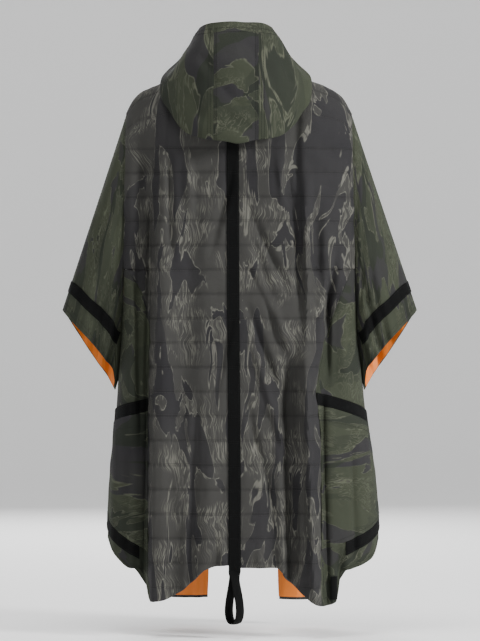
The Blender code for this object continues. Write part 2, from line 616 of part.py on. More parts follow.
def add_wall(name, outer, inner, slot, cells=None):
    """A wall between two grids of points, over all cells or the given ones."""
    rows, columns = len(outer), len(outer[0])
    if cells is None:
        cells = {(i, j) for i in range(rows - 1) for j in range(columns - 1)}
    number, vertices, faces = {}, [], []

    def vertex(layer, i, j):
        key = (layer, i, j)
        if key not in number:
            number[key] = len(vertices)
            vertices.append((outer if layer else inner)[i][j])
        return number[key]

    for i, j in sorted(cells):
        for layer in (0, 1):
            a, b = vertex(layer, i, j), vertex(layer, i, j + 1)
            c, d = vertex(layer, i + 1, j + 1), vertex(layer, i + 1, j)
            faces += [(a, b, c), (a, c, d)] if layer else [(a, c, b), (a, d, c)]
        for (i2, j2), start, end in (((i - 1, j), (i, j), (i, j + 1)),
                                     ((i, j + 1), (i, j + 1), (i + 1, j + 1)),
                                     ((i + 1, j), (i + 1, j + 1), (i + 1, j)),
                                     ((i, j - 1), (i + 1, j), (i, j))):
            if (i2, j2) not in cells:
                p, q = vertex(1, *start), vertex(1, *end)
                r, s = vertex(0, *end), vertex(0, *start)
                faces += [(p, s, r), (p, r, q)]
    return add_piece(name, vertices, faces, slot)


def add_quilted(name, points, normals, slot):
    """A quilted half: its outer face is crested between stitching lines, its inner face plain."""
    rows, columns = len(points), len(points[0])
    inner = points - normals * QUILTED_WALL
    crest = (points[:-1] + points[1:]) / 2
    lift = normals[:-1] + normals[1:]
    lift = lift / np.linalg.norm(lift, axis=-1, keepdims=True) * RELIEF
    lift[:, 0] = 0
    lift[:, -1] = 0
    crest = crest + lift
    level = (inner[:-1] + inner[1:]) / 2
    vertices = [v for part in (points, inner, crest, level) for v in part.reshape(-1, 3)]
    size = rows * columns

    def out(i, j):
        return i * columns + j

    def inn(i, j):
        return size + i * columns + j

    def top(i, j):
        return 2 * size + i * columns + j

    def mid(i, j):
        return 3 * size - columns + i * columns + j

    faces = []
    for i in range(rows - 1):
        for j in range(columns - 1):
            faces += [(out(i, j), out(i, j + 1), top(i, j + 1)), (out(i, j), top(i, j + 1), top(i, j)),
                      (top(i, j), top(i, j + 1), out(i + 1, j + 1)),
                      (top(i, j), out(i + 1, j + 1), out(i + 1, j)),
                      (inn(i, j), mid(i, j + 1), inn(i, j + 1)), (inn(i, j), mid(i, j), mid(i, j + 1)),
                      (mid(i, j), inn(i + 1, j + 1), mid(i, j + 1)),
                      (mid(i, j), inn(i + 1, j), inn(i + 1, j + 1))]
        last = columns - 1
        faces += [(inn(i, 0), out(i, 0), top(i, 0)), (inn(i, 0), top(i, 0), mid(i, 0)),
                  (mid(i, 0), top(i, 0), out(i + 1, 0)), (mid(i, 0), out(i + 1, 0), inn(i + 1, 0)),
                  (inn(i, last), top(i, last), out(i, last)),
                  (inn(i, last), mid(i, last), top(i, last)),
                  (mid(i, last), out(i + 1, last), top(i, last)),
                  (mid(i, last), inn(i + 1, last), out(i + 1, last))]
    for j in range(columns - 1):
        low = rows - 1
        faces += [(out(0, j), inn(0, j), inn(0, j + 1)), (out(0, j), inn(0, j + 1), out(0, j + 1)),
                  (out(low, j), out(low, j + 1), inn(low, j + 1)),
                  (out(low, j), inn(low, j + 1), inn(low, j))]
    return add_piece(name, vertices, faces, slot)


def grid_normals(points, sign):
    """Unit normals of a grid of points, turned the way the sign says."""
    across = np.gradient(points, axis=1)
    down = np.gradient(points, axis=0)
    normal = np.cross(across, down) * sign
    return normal / np.linalg.norm(normal, axis=-1, keepdims=True)


# ---- pieces ----------------------------------------------------------------------------------
def make_halves():
    """Back and front halves, quilted, with their grids for the pieces sewn to them."""
    grids = {}
    for face, columns in ((1, BACK_COLUMNS), (-1, FRONT_COLUMNS)):
        for hand in (1, -1):
            strip = WEBBING_WIDTH / 2 if face > 0 else None
            points, normals = half_grid(face, hand, columns, strip)
            add_quilted(f"{FACES[face]}_{HANDS[hand]}", points, normals, "back_print")
            grids[face, hand] = points, normals
    return grids


def make_sides(halves):
    """Side panels, with the pocket and the two webbings that lie on the back ones."""
    grids = {}
    for (face, hand), (half, half_normals) in halves.items():
        points, normals = side_grid(face, hand, half[:, -1], half_normals[:, -1])
        grids[face, hand] = points, normals
        add_wall(f"side_{FACES[face]}_{HANDS[hand]}", points, points - normals * PLAIN_WALL,
                 "green_print")
        if face > 0:
            make_side_trim(hand, points, normals)
    return grids


def make_side_trim(hand, points, normals):
    """Pocket, pocket-mouth webbing and hem webbing, moved out from the side panel's points."""
    kinds = [kind for _a, _b, kind in SIDE_ROWS[hand]]
    mouth, pocket = kinds.index("pocket webbing"), kinds.index("pocket")
    band, tail = kinds.index("hem webbing"), kinds.index("tail")
    columns = len(points[0])
    lie = points + normals * SEAM_GAP
    reach = range(columns - 1)
    for name, rows, wall, slot in (("webbing_pocket", range(mouth, pocket), WEBBING_WALL, "webbing"),
                                   ("pocket", range(pocket, band), POCKET_WALL, "pocket_print"),
                                   ("webbing_hem", range(band, tail), WEBBING_WALL, "webbing")):
        low, high = rows[0], rows[-1] + 1
        under = lie[low:high + 1].copy()
        if name == "pocket":
            under[0] += (under[1] - under[0]) * 0.04
            under[-1] += (under[-2] - under[-1]) * 0.02
        first = TAIL_START[hand] if name == "webbing_hem" else 0
        cells = {(i - low, j) for i in rows for j in reach if j >= first}
        add_wall(f"{name}_{HANDS[hand]}", under + normals[low:high + 1] * wall, under, slot, cells)


def make_sleeves(halves, sides):
    """Sleeves, their webbing bands and the lining that shows inside their ends."""
    for hand in (1, -1):
        edge, edge_normals = armhole(hand, halves, sides)
        points, reached = sleeve_grid(hand, edge)
        normals = grid_normals(points, hand)
        middle = len(edge) // 2
        top = slice(middle - YOKE_ROWS, middle + YOKE_ROWS + 1)
        normals[0, top] = edge_normals[top]
        for column in (0, -1):
            normals[:, column] = [flat_normal(normal) for normal in normals[:, column]]
        inner = points - normals * PLAIN_WALL
        add_wall(f"sleeve_{HANDS[hand]}", points, inner, "green_print")
        band = len(SLEEVE_ROWS)
        lie = points[band:band + 2] + normals[band:band + 2] * SEAM_GAP
        cells = {(0, j) for j in range(len(reached) - 1) if reached[j] and reached[j + 1]}
        add_wall(f"webbing_sleeve_{HANDS[hand]}", lie + normals[band:band + 2] * WEBBING_WALL, lie,
                 "webbing", cells)
        face_in = points[band - 2:] - normals[band - 2:] * (PLAIN_WALL + SEAM_GAP)
        face_in[-1] += (face_in[-2] - face_in[-1]) * 0.2
        face_in = face_in[:, LINING_TRIM:-LINING_TRIM]
        depth = normals[band - 2:, LINING_TRIM:-LINING_TRIM] * LINING_WALL
        add_wall(f"lining_sleeve_{HANDS[hand]}", face_in, face_in - depth, "lining")


def make_front_linings(halves):
    """Linings inside the fronts' lower ends, short of the shell's turned hem."""
    for hand in (1, -1):
        points, normals = (with_middles(grid[LINING_FROM:]) for grid in halves[-1, hand])
        over = points - normals * (QUILTED_WALL + SEAM_GAP)
        drop = np.linalg.norm(over[-1] - over[-2], axis=-1, keepdims=True)
        over[-1] += (over[-2] - over[-1]) * (LINING_HEM / drop)
        add_wall(f"lining_front_{HANDS[hand]}", over, over - normals * LINING_WALL, "lining")


def with_middles(grid):
    """A grid's rows with the rows half way between them."""
    rows = np.repeat(grid, 2, axis=0)[:-1]
    rows[1::2] = (grid[:-1] + grid[1:]) / 2
    return rows


def make_hood(halves):
    """The hood's centre strip and two sides."""
    necks = {key: points[0] for key, (points, _normals) in halves.items()}
    strip = [i * 2 / HOOD_STRIP_COLUMNS for i in range(HOOD_STRIP_COLUMNS // 2 + 1)]
    strip[-1] = 1 - HOOD_SEAM_SHARE
    sides = [1 + i / HOOD_SIDE_COLUMNS for i in range(HOOD_SIDE_COLUMNS + 1)]
    sides[0] = 1 + HOOD_SEAM_SHARE / 3
    middle = {hand: hood_grid(hand, strip, necks) for hand in (1, -1)}
    points = np.concatenate([middle[1][0][:, ::-1], middle[-1][0][:, 1:]], axis=1)
    normals = np.concatenate([middle[1][1][:, ::-1], middle[-1][1][:, 1:]], axis=1)
    add_wall("hood_centre", points, points - normals * PLAIN_WALL, "hood_print")
    for hand in (1, -1):
        points, normals = hood_grid(hand, sides, necks)
        normals[:, 0] = middle[hand][1][:, -1]
        add_wall(f"hood_{HANDS[hand]}", points, points - normals * PLAIN_WALL, "hood_print")


def make_back_webbing(halves):
    """Webbing over the centre-back seam, and the turned hanging loop that goes on below the hem."""
    left, left_normals = halves[1, 1]
    right, right_normals = halves[1, -1]
    lift = RELIEF + SEAM_GAP
    under, over = [], []
    for i in range(1, len(left)):
        centre = (left[i, 0] + right[i, 0]) / 2
        row = np.array([left[i, 1], centre, right[i, 1]])
        normal = np.array([left_normals[i, 1], left_normals[i, 0], right_normals[i, 1]])
        under.append(row + normal * lift)
        over.append(row + normal * (lift + WEBBING_WALL))
    add_wall("webbing_back", np.array(over), np.array(under), "webbing")
    start = (under[-1][1] + over[-1][1]) / 2
    hem = min(point[2] for point in over[-1]) - 3 * SEAM_GAP
    under, over = [], []
    height = hem - LOOP_BOTTOM_Z
    swing = LOOP_HALF / 0.65
    centres, widths = [], []
    for i in range(LOOP_STEPS + 1):
        u = i / LOOP_STEPS
        turn = LOOP_TURN * step(min(u, LOOP_END_TURN - u), 0.0, 0.16)
        off = swing * math.sin(2 * math.pi * u) * math.sin(math.pi * u) ** 2
        off -= LOOP_PARTING * step(u, 0.5, 1.0)
        z = hem - height * (1 - math.cos(2 * math.pi * u)) / 2 - 2 * LOOP_PARTING * u
        centres.append(start + np.array([-math.sin(turn) * off, math.cos(turn) * off, z - start[2]]))
        widths.append(np.array([math.cos(turn), math.sin(turn), 0]) * WEBBING_WIDTH / 2)
    for i, (centre, width) in enumerate(zip(centres, widths)):
        ahead = centres[min(i + 1, LOOP_STEPS)] - centres[max(i - 1, 0)]
        normal = np.cross(ahead, width)
        normal *= WEBBING_WALL / 2 / np.linalg.norm(normal)
        if i == 0 and normal[1] < 0:
            flip = -1
        elif i == 0:
            flip = 1
        normal = normal * flip
        row = np.array([centre + width, centre, centre - width])
        under.append(row - normal)
        over.append(row + normal)
    add_wall("hanging_loop", np.array(over), np.array(under), "webbing")


def main():
    """Clear the scene and sew the poncho."""
    for item in list(bpy.data.objects):
        bpy.data.objects.remove(item)
    halves = make_halves()
    sides = make_sides(halves)
    make_sleeves(halves, sides)
    make_front_linings(halves)
    make_hood(halves)
    make_back_webbing(halves)


main()
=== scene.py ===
"""Quilted hooded poncho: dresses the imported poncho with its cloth, webbing, stitching and print.

Laid out as an add-on and run as a script. Metres, +Z up, the back of the poncho faces +Y and +X
is the wearer's left. The worn surface comes from the same named tables as the solids, with the
finer folds, puckers and sewing added here.
"""
import math

import bpy
import numpy as np
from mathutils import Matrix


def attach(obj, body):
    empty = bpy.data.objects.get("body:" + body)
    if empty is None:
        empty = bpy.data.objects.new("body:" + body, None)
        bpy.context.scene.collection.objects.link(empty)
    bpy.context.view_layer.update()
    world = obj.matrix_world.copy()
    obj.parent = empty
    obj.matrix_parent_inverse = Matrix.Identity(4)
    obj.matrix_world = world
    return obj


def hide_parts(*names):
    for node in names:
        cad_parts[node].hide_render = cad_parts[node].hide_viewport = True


bl_info = {
    "name": "Quilted Poncho",
    "version": (1, 0, 0),
    "blender": (4, 5, 0),
    "location": "3D View > Sidebar > Poncho",
    "description": "Dresses a quilted hooded poncho with cloth, webbing, stitches and print",
    "category": "Object",
}

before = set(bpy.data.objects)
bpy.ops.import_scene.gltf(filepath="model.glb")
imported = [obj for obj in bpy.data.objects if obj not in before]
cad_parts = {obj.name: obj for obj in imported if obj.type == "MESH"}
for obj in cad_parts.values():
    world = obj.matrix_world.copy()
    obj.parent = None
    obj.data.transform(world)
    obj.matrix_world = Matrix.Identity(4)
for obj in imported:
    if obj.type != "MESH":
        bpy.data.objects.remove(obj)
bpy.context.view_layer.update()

# ---- driving sizes ---------------------------------------------------------------------------
QUILTED_WALL = 0.003          # shell, wadding and lining stitched together
PLAIN_WALL = 0.002            # sleeves, side panels and hood
LINING_WALL = 0.001
WEBBING_WALL = 0.0014
POCKET_WALL = 0.0015
SEAM_GAP = 0.0003             # between neighbouring pieces
CHANNEL = 0.052               # height of one quilted channel
RELIEF = 0.0016               # how far a channel's crest stands above its stitching
WEBBING_WIDTH = 0.026
WEBBING_TOP = 0.9             # how far up the yoke the back webbing starts, under the hood
WEBBING_SHARE = 0.14          # share of a half that holds the webbing's edge at every height
WEBBING_ENDS = (0.002, 0.005)  # how far its two last rows hang below the hem
WEBBING_END_STEP = 0.0015     # least drop from its last rows on the cloth to the first of those
WEBBING_TACKS = 17            # quilting lines that are sewn across the back webbing
STITCH_LIFT = 0.0002          # from a cloth's face to the middle of its stitches
PANEL_STITCH_LIFT = 0.0003    # the same on the side panels
THREAD_SHOWING = 0.6          # how far quilting thread stands out, in its radii
QUILTING_END = 0.012          # least distance from the hem to a quilting line
PANEL_CREASE = 0.0009         # height of the small creases of the side panels
POCKET_CREASE = 0.0007
POCKET_FULLNESS = 0.0035      # how far a pocket bellies out
SOFT_CREASE = 0.0012          # height of the small creases of sleeves and hood

CHEST_Z = -0.131              # the quilting line where the shoulders' rounding ends
CHANNELS_DOWN = 16            # level channels below that line
YOKE_ROWS = 3                 # channels that fan out over the shoulders
UNDERARM_Z = -0.628
GORE_TOP = 5                  # the quilting line at which the side panel begins

NECK_HALF = 0.078
NECK_SIDE_Z = 0.055
NECK_Y = {1: 0.066, -1: 0.078}        # keyed by face: 1 back, -1 front
NECK_Z = {1: 0.046, -1: -0.004}
NECK_SHARE = 0.26             # part of a half's top edge that is neckline

SIDE_COLUMNS = 8              # coarse columns that TAIL_START counts on a back side panel

# Worn section at each height: half widths, depths of back and front at the centre, and the
# y, distance inwards, of the armhole or side seam. "wide_y" is where the half width is met.
SECTION_COLUMNS = ("z", "left", "right", "back", "front", "wide_y", "edge_y", "edge_in")
SECTIONS = (
    (-0.131, 0.2500, 0.2500, 0.128, 0.124, 0.030, 0.066, 0.006),
    (-0.250, 0.2520, 0.2520, 0.138, 0.134, 0.036, 0.072, 0.006),
    (-0.380, 0.2530, 0.2540, 0.146, 0.140, 0.036, 0.068, 0.005),
    (-0.500, 0.2560, 0.2565, 0.151, 0.145, 0.022, 0.048, 0.004),
    (-0.599, 0.2600, 0.2640, 0.154, 0.149, 0.006, 0.018, 0.001),
    (-0.628, 0.2615, 0.2665, 0.155, 0.150, 0.000, 0.000, 0.000),
    (-0.720, 0.2680, 0.2770, 0.159, 0.153, 0.000, 0.000, 0.000),
    (-0.840, 0.2780, 0.2935, 0.166, 0.158, 0.000, 0.000, 0.000),
    (-0.950, 0.2840, 0.3020, 0.173, 0.163, 0.000, 0.000, 0.000),
    (-1.130, 0.2880, 0.3060, 0.183, 0.170, 0.000, 0.000, 0.000),
)
SECTION_FULLNESS = 0.22       # how much fuller than an ellipse a section is

# Shoulder line from the neck point to the shoulder point.
SHOULDER_X = (0.078, 0.120, 0.160, 0.190, 0.2085, 0.2215, 0.2300, 0.2370, 0.2430)
SHOULDER_Z = (0.055, 0.034, 0.0175, 0.005, -0.0040, -0.0150, -0.0260, -0.0380, -0.0500)

# x of the centre line: the webbing leans to the wearer's left; the fronts part towards the hem.
CENTRE_Z = (-1.130, -0.800, -0.500, -0.150, 0.100)
CENTRE_X = {
    (1, 1): (0.0090, 0.0095, 0.0120, 0.0133, 0.0120),
    (1, -1): (0.0090, 0.0095, 0.0120, 0.0133, 0.0120),
    (-1, 1): (0.0700, 0.0560, 0.0300, 0.0060, 0.0030),
    (-1, -1): (-0.0920, -0.0700, -0.0350, -0.0060, -0.0030),
}

# x of the seam between a back or front half and its side panel, by height.
PANEL_SEAM = {
    (1, 1): ((-1.130, 0.186), (-1.020, 0.193), (-0.650, 0.194), (-0.520, 0.190),
             (-0.450, 0.204), (-0.386, 0.241)),
    (1, -1): ((-1.130, 0.174), (-0.757, 0.173), (-0.654, 0.164), (-0.560, 0.178),
              (-0.484, 0.203), (-0.386, 0.242)),
    (-1, 1): ((-1.130, 0.185), (-0.650, 0.182), (-0.484, 0.206), (-0.386, 0.241)),
    (-1, -1): ((-1.130, 0.190), (-0.650, 0.184), (-0.484, 0.206), (-0.386, 0.242)),
}

SEAMS_FROM = 0.3              # share of a half beyond which its panel seam lies at every height

# Hem height against distance from the centre, each half from its centre line to its side seam.
HEM = {
    (1, 1): ((0.000, -1.019), (0.045, -1.021), (0.069, -1.028), (0.120, -1.073), (0.166, -1.096),
             (0.187, -1.098), (0.203, -1.045), (0.219, -1.031), (0.235, -1.030), (0.256, -1.015),
             (0.275, -0.993), (0.286, -0.968)),
    (1, -1): ((0.000, -1.025), (0.080, -1.026), (0.103, -1.051), (0.135, -1.082), (0.157, -1.100),
              (0.180, -1.107), (0.206, -1.100), (0.219, -1.036), (0.243, -1.030), (0.280, -1.015),
              (0.297, -0.993), (0.305, -0.965)),
    (-1, 1): ((0.000, -1.111), (0.140, -1.113), (0.190, -1.095), (0.225, -1.050), (0.262, -1.015),
              (0.286, -0.968)),
    (-1, -1): ((0.000, -1.113), (0.140, -1.118), (0.195, -1.098), (0.235, -1.050),
               (0.275, -1.012), (0.305, -0.965)),
}
HEM_REFERENCE_Z = -1.0        # the section that a hem's distances are measured on

# Folds: x at the top and bottom of the fold line, the heights between which it runs, its reach
# towards the centre and towards the side, and its depth (a ridge is positive).
FOLD_COLUMNS = ("x_top", "x_low", "top", "low", "inner", "outer", "depth")
FOLDS = {
    (1, 1): {
        "deep pleat": (0.190, 0.208, -0.070, -1.300, 0.032, 0.046, -0.036),
        "pleat edge": (0.160, 0.176, -0.300, -1.300, 0.034, 0.030, 0.012),
        "soft trough": (0.095, 0.125, -0.180, -0.860, 0.040, 0.034, -0.009),
        "hem swell": (0.055, 0.080, -0.700, -1.300, 0.034, 0.034, 0.010),
        "hem trough": (0.125, 0.140, -0.860, -1.300, 0.030, 0.026, -0.008),
        "tail crease": (0.232, 0.246, -0.720, -1.300, 0.018, 0.022, -0.010),
    },
    (1, -1): {
        "yoke trough": (0.118, 0.135, -0.060, -0.520, 0.020, 0.018, -0.013),
        "blade ridge": (0.146, 0.158, -0.160, -0.540, 0.016, 0.014, 0.009),
        "blade trough": (0.170, 0.174, -0.230, -0.540, 0.014, 0.014, -0.012),
        "armhole pleat": (0.192, 0.200, -0.360, -0.720, 0.026, 0.040, -0.018),
        "side ridge": (0.236, 0.262, -0.160, -0.700, 0.022, 0.022, 0.010),
        "tail ridge": (0.140, 0.166, -0.500, -1.300, 0.024, 0.030, 0.024),
        "tail trough": (0.108, 0.120, -0.540, -1.300, 0.026, 0.022, -0.024),
        "inner trough": (0.060, 0.078, -0.740, -1.300, 0.024, 0.022, -0.010),
        "drag fold": (0.020, 0.105, -0.260, -0.640, 0.018, 0.018, -0.007),
        "tail notch": (0.213, 0.215, -0.940, -1.300, 0.012, 0.018, -0.016),
    },
    (-1, 1): {
        "front pleat": (0.180, 0.200, -0.120, -1.300, 0.040, 0.044, -0.020),
        "chest trough": (0.095, 0.130, -0.200, -0.900, 0.036, 0.034, -0.010),
        "hem ridge": (0.120, 0.150, -0.620, -1.300, 0.034, 0.030, 0.014),
    },
    (-1, -1): {
        "front pleat": (0.176, 0.205, -0.150, -1.300, 0.040, 0.044, -0.019),
        "chest trough": (0.100, 0.120, -0.160, -0.820, 0.034, 0.036, -0.011),
        "hem ridge": (0.125, 0.160, -0.660, -1.300, 0.034, 0.030, 0.015),
    },
}
# Smaller creases that only this script shows, in the same columns as FOLDS.
CREASES = {
    (1, 1): {
        "webbing drag a": (0.004, 0.070, -0.150, -0.400, 0.013, 0.018, -0.0072),
        "webbing drag b": (0.006, 0.060, -0.470, -0.700, 0.012, 0.016, -0.0056),
        "under hood": (0.108, 0.100, -0.110, -0.330, 0.012, 0.020, 0.0096),
        "shoulder fall": (0.150, 0.142, -0.090, -0.420, 0.014, 0.012, -0.0096),
        "pleat lip": (0.172, 0.186, -0.240, -1.280, 0.010, 0.008, 0.0096),
        "pleat hollow": (0.188, 0.202, -0.200, -1.200, 0.010, 0.014, -0.0120),
        "low fall": (0.085, 0.102, -0.620, -1.290, 0.012, 0.018, -0.0072),
        "hem curl": (0.040, 0.030, -0.900, -1.300, 0.014, 0.014, 0.0080),
        "side fall": (0.228, 0.222, -0.330, -0.800, 0.010, 0.014, 0.0088),
        "tail fall": (0.262, 0.275, -0.700, -1.100, 0.012, 0.012, 0.0072),
    },
    (1, -1): {
        "drag a": (0.004, 0.118, -0.225, -0.470, 0.014, 0.017, -0.0112),
        "drag b": (0.010, 0.128, -0.330, -0.610, 0.012, 0.018, 0.0096),
        "drag c": (0.004, 0.104, -0.430, -0.700, 0.013, 0.016, -0.0104),
        "drag d": (0.020, 0.124, -0.520, -0.860, 0.012, 0.018, 0.0088),
        "drag e": (0.006, 0.080, -0.640, -0.930, 0.014, 0.016, -0.0088),
        "blade fold": (0.158, 0.163, -0.230, -0.560, 0.008, 0.011, -0.0128),
        "blade lip": (0.140, 0.146, -0.200, -0.600, 0.009, 0.010, 0.0104),
        "under hood": (0.100, 0.118, -0.100, -0.330, 0.010, 0.012, -0.0120),
        "under hood lip": (0.080, 0.096, -0.110, -0.290, 0.010, 0.012, 0.0080),
        "sleeve drag": (0.215, 0.178, -0.300, -0.560, 0.012, 0.014, -0.0112),
        "side crease": (0.190, 0.186, -0.380, -0.690, 0.009, 0.013, -0.0160),
        "tail lip": (0.176, 0.188, -0.520, -1.290, 0.012, 0.012, -0.0112),
        "tail crown": (0.140, 0.158, -0.560, -1.280, 0.012, 0.012, 0.0096),
        "tail hollow": (0.096, 0.110, -0.600, -1.290, 0.014, 0.012, -0.0128),
        "hem curl": (0.046, 0.040, -0.940, -1.300, 0.012, 0.014, 0.0080),
        "low side": (0.236, 0.250, -0.700, -1.080, 0.011, 0.014, -0.0096),
    },
    (-1, 1): {
        "front fall a": (0.060, 0.075, -0.180, -0.820, 0.014, 0.018, 0.0080),
        "front fall b": (0.140, 0.128, -0.260, -1.100, 0.013, 0.016, -0.0096),
        "front fall c": (0.215, 0.222, -0.360, -1.000, 0.012, 0.014, 0.0088),
        "front drag": (0.020, 0.090, -0.480, -0.760, 0.014, 0.016, -0.0072),
        "front hem": (0.085, 0.092, -0.800, -1.290, 0.013, 0.014, -0.0080),
    },
    (-1, -1): {
        "front fall a": (0.052, 0.066, -0.240, -0.900, 0.014, 0.017, -0.0080),
        "front fall b": (0.148, 0.136, -0.200, -1.000, 0.012, 0.016, 0.0096),
        "front fall c": (0.208, 0.220, -0.420, -1.080, 0.012, 0.014, -0.0096),
        "front drag": (0.016, 0.082, -0.380, -0.700, 0.013, 0.016, 0.0072),
        "front hem": (0.096, 0.084, -0.840, -1.290, 0.013, 0.015, 0.0080),
    },
}
FOLD_FADE = 0.11              # length over which a fold line comes and goes

# Rows of a side panel: height at the panel seam and at the side edge. The first six side heights
# lie on the armhole, and SIDE_PARTS says at which row a part begins.
SIDE_ROWS = {
    1: ((-0.391, -0.391), (-0.443, -0.443), (-0.495, -0.495), (-0.547, -0.547), (-0.599, -0.599),
        (-0.651, -0.628), (-0.667, -0.694), (-0.694, -0.724), (-0.703, -0.742), (-0.755, -0.780),
        (-0.807, -0.815), (-0.859, -0.848), (-0.911, -0.872), (-0.963, -0.892), (-0.994, -0.908),
        (-1.021, -0.940)),
    -1: ((-0.391, -0.391), (-0.443, -0.443), (-0.495, -0.495), (-0.547, -0.547),
         (-0.599, -0.599), (-0.651, -0.628), (-0.654, -0.699), (-0.680, -0.730),
         (-0.703, -0.748), (-0.755, -0.790), (-0.807, -0.828), (-0.859, -0.862),
         (-0.911, -0.888), (-0.963, -0.906), (-0.990, -0.918), (-1.020, -0.944)),
}
SIDE_PARTS = {"pocket webbing": 6, "pocket": 7, "hem webbing": 14, "tail": 15}

# Half of a sleeve's hem, from the arm line (share 0) to the underarm (share 1): distance from
# the centre, height and y of the back half, height and y of the front half.
SLEEVE_HEM_COLUMNS = ("share", "x", "back_z", "back_y", "front_z", "front_y")
SLEEVE_HEM = (
    (0.00, 0.3830, -0.477, 0.000, -0.477, 0.000),
    (0.06, 0.3780, -0.483, 0.026, -0.484, -0.026),
    (0.16, 0.3600, -0.503, 0.046, -0.514, -0.048),
    (0.40, 0.3200, -0.545, 0.058, -0.576, -0.062),
    (0.65, 0.2900, -0.582, 0.052, -0.617, -0.058),
    (0.88, 0.2730, -0.606, 0.026, -0.643, -0.032),
    (1.00, 0.2680, -0.644, 0.000, -0.650, 0.000),
)
SLEEVE_WEBBING = (0.066, 0.042)       # distances of its two edges from the sleeve's hem
BAND_FROM = 0.12              # least share of the way down a sleeve at which webbing lies
SLEEVE_PATTERN_X = 0.25       # where a sleeve's flat pattern starts
SLEEVE_BELLY = 0.012
RIGHT_SLEEVE_WIDER = 0.003

# Hood, lying down: for each angle round the neck from the centre back, the ring of the neck seam,
# the standing fold above it, the bag's bottom fold, the outer swell and the rim.
HOOD_COLUMNS = ("angle", "neck_r", "neck_z", "stand_r", "stand_z", "bag_r", "bag_z",
                "swell_r", "swell_z", "rim_r", "rim_z")
HOOD_SECTIONS = (
    (0, 0.067, 0.048, 0.086, 0.066, 0.186, -0.124, 0.176, 0.020, 0.104, 0.141),
    (30, 0.069, 0.050, 0.092, 0.072, 0.187, -0.108, 0.172, 0.022, 0.101, 0.139),
    (55, 0.073, 0.053, 0.098, 0.076, 0.188, -0.040, 0.154, 0.034, 0.094, 0.133),
    (75, 0.077, 0.056, 0.094, 0.070, 0.167, 0.020, 0.123, 0.052, 0.087, 0.124),
    (95, 0.079, 0.056, 0.088, 0.066, 0.118, 0.054, 0.106, 0.083, 0.084, 0.114),
    (120, 0.079, 0.044, 0.085, 0.054, 0.101, 0.060, 0.098, 0.078, 0.084, 0.096),
    (150, 0.080, 0.014, 0.084, 0.026, 0.091, 0.038, 0.092, 0.056, 0.086, 0.072),
    (178, 0.081, -0.004, 0.084, 0.006, 0.087, 0.020, 0.088, 0.034, 0.087, 0.048),
)
HOOD_R_STOPS = (0.0, 0.10, 0.56, 0.78, 1.0)   # where along the profile those radii lie
HOOD_Z_STOPS = (0.0, 0.10, 0.50, 0.74, 1.0)   # where along the profile those heights lie
HOOD_END_ANGLE = 177.0
HOOD_SEAM_SHARE = 0.0045
NECK_LIFT = 0.0018
HOOD_STRIP_HALF = 0.048
HOOD_CENTRE_X = 0.006
HOOD_NECK_SHARE = 0.12        # share of the profile over which the hood settles on the neckline
HOOD_STEEPEST = 0.8           # sine of the widest angle that the centre strip reaches

LOOP_TURN = math.radians(50)  # how far the hanging loop's strip is turned from the back's plane
LOOP_HALF = 0.016
LOOP_BOTTOM_Z = -1.140
LOOP_END_TURN = 1.09          # above 1, the returning strand stays turned with the first
LOOP_PARTING = 0.0042         # from the loop's front strand to its returning one at the hem
LOOP_OVERLAP = 0.0015         # length of the loop that lies over the end of the back webbing
LOOP_STEPS = 84
LOOP_CREASE = 0.0012          # how far the loop's strip is cupped
LOOP_SWING_PEAK = 0.65        # largest value of the curve that the loop's strip swings out by
LOOP_TURN_SHARE = 0.16        # share of the loop's length over which its strip turns

CORNER_STRIP = (0.1955, 0.2070, -1.045, -1.094)   # the strip's |x| from and to, z from and to
CORNER_LIFT = 0.0016          # from the side panel to the strip's inner face
CORNER_ROWS = 24
CORNER_COLUMNS = 6

LINING_FROM = 17              # the front lining shows from this row of the front halves down
LINING_HEM = 0.004            # the shell's turned hem below the front lining
SLEEVE_LINED = 0.42           # share of the way down a sleeve at which its lining starts
SLEEVE_LINING_HEM = 0.0012
LINING_TRIM = 5               # columns by the underarm that a sleeve's lining stops short of

TAIL_START = {1: 1, -1: 2}    # the hem webbing's first column from the panel seam

FACES = {1: "back", -1: "front"}
HANDS = {1: "left", -1: "right"}


# ---- the worn surface ------------------------------------------------------------------------
def smooth(where, stations, values):
    """Values at the given places on a curve through the stations that never overshoots them."""
    xs = np.asarray(stations, float)
    ys = np.asarray(values, float)
    if xs[0] > xs[-1]:
        xs, ys = xs[::-1], ys[::-1]
    steps = np.diff(xs)
    slopes = np.diff(ys) / steps
    tangents = np.zeros_like(ys)
    product = slopes[1:] * slopes[:-1]
    total = np.where(np.abs(slopes[1:] + slopes[:-1]) < 1e-12, 1.0, slopes[1:] + slopes[:-1])
    tangents[1:-1] = np.where(product > 0, 2 * product / total, 0.0)
    tangents[0], tangents[-1] = slopes[0], slopes[-1]
    where = np.clip(np.asarray(where, float), xs[0], xs[-1])
    at = np.clip(np.searchsorted(xs, where) - 1, 0, len(steps) - 1)
    width = steps[at]
    u = (where - xs[at]) / width
    rise = u * u * (3 - 2 * u)
    return (ys[at] * (1 - rise) + ys[at + 1] * rise
            + width * (tangents[at] * u * (1 - u) ** 2 - tangents[at + 1] * u * u * (1 - u)))


def step(where, start, end):
    """A soft step from 0 at start to 1 at end."""
    u = np.clip((where - start) / (end - start), 0.0, 1.0)
    return u * u * (3 - 2 * u)


def hump(off):
    """A soft hump, 1 at 0 and 0 from a half outwards."""
    return np.cos(np.clip(off, -0.5, 0.5) * np.pi) ** 2


SECTION = dict(zip(SECTION_COLUMNS, zip(*SECTIONS)))


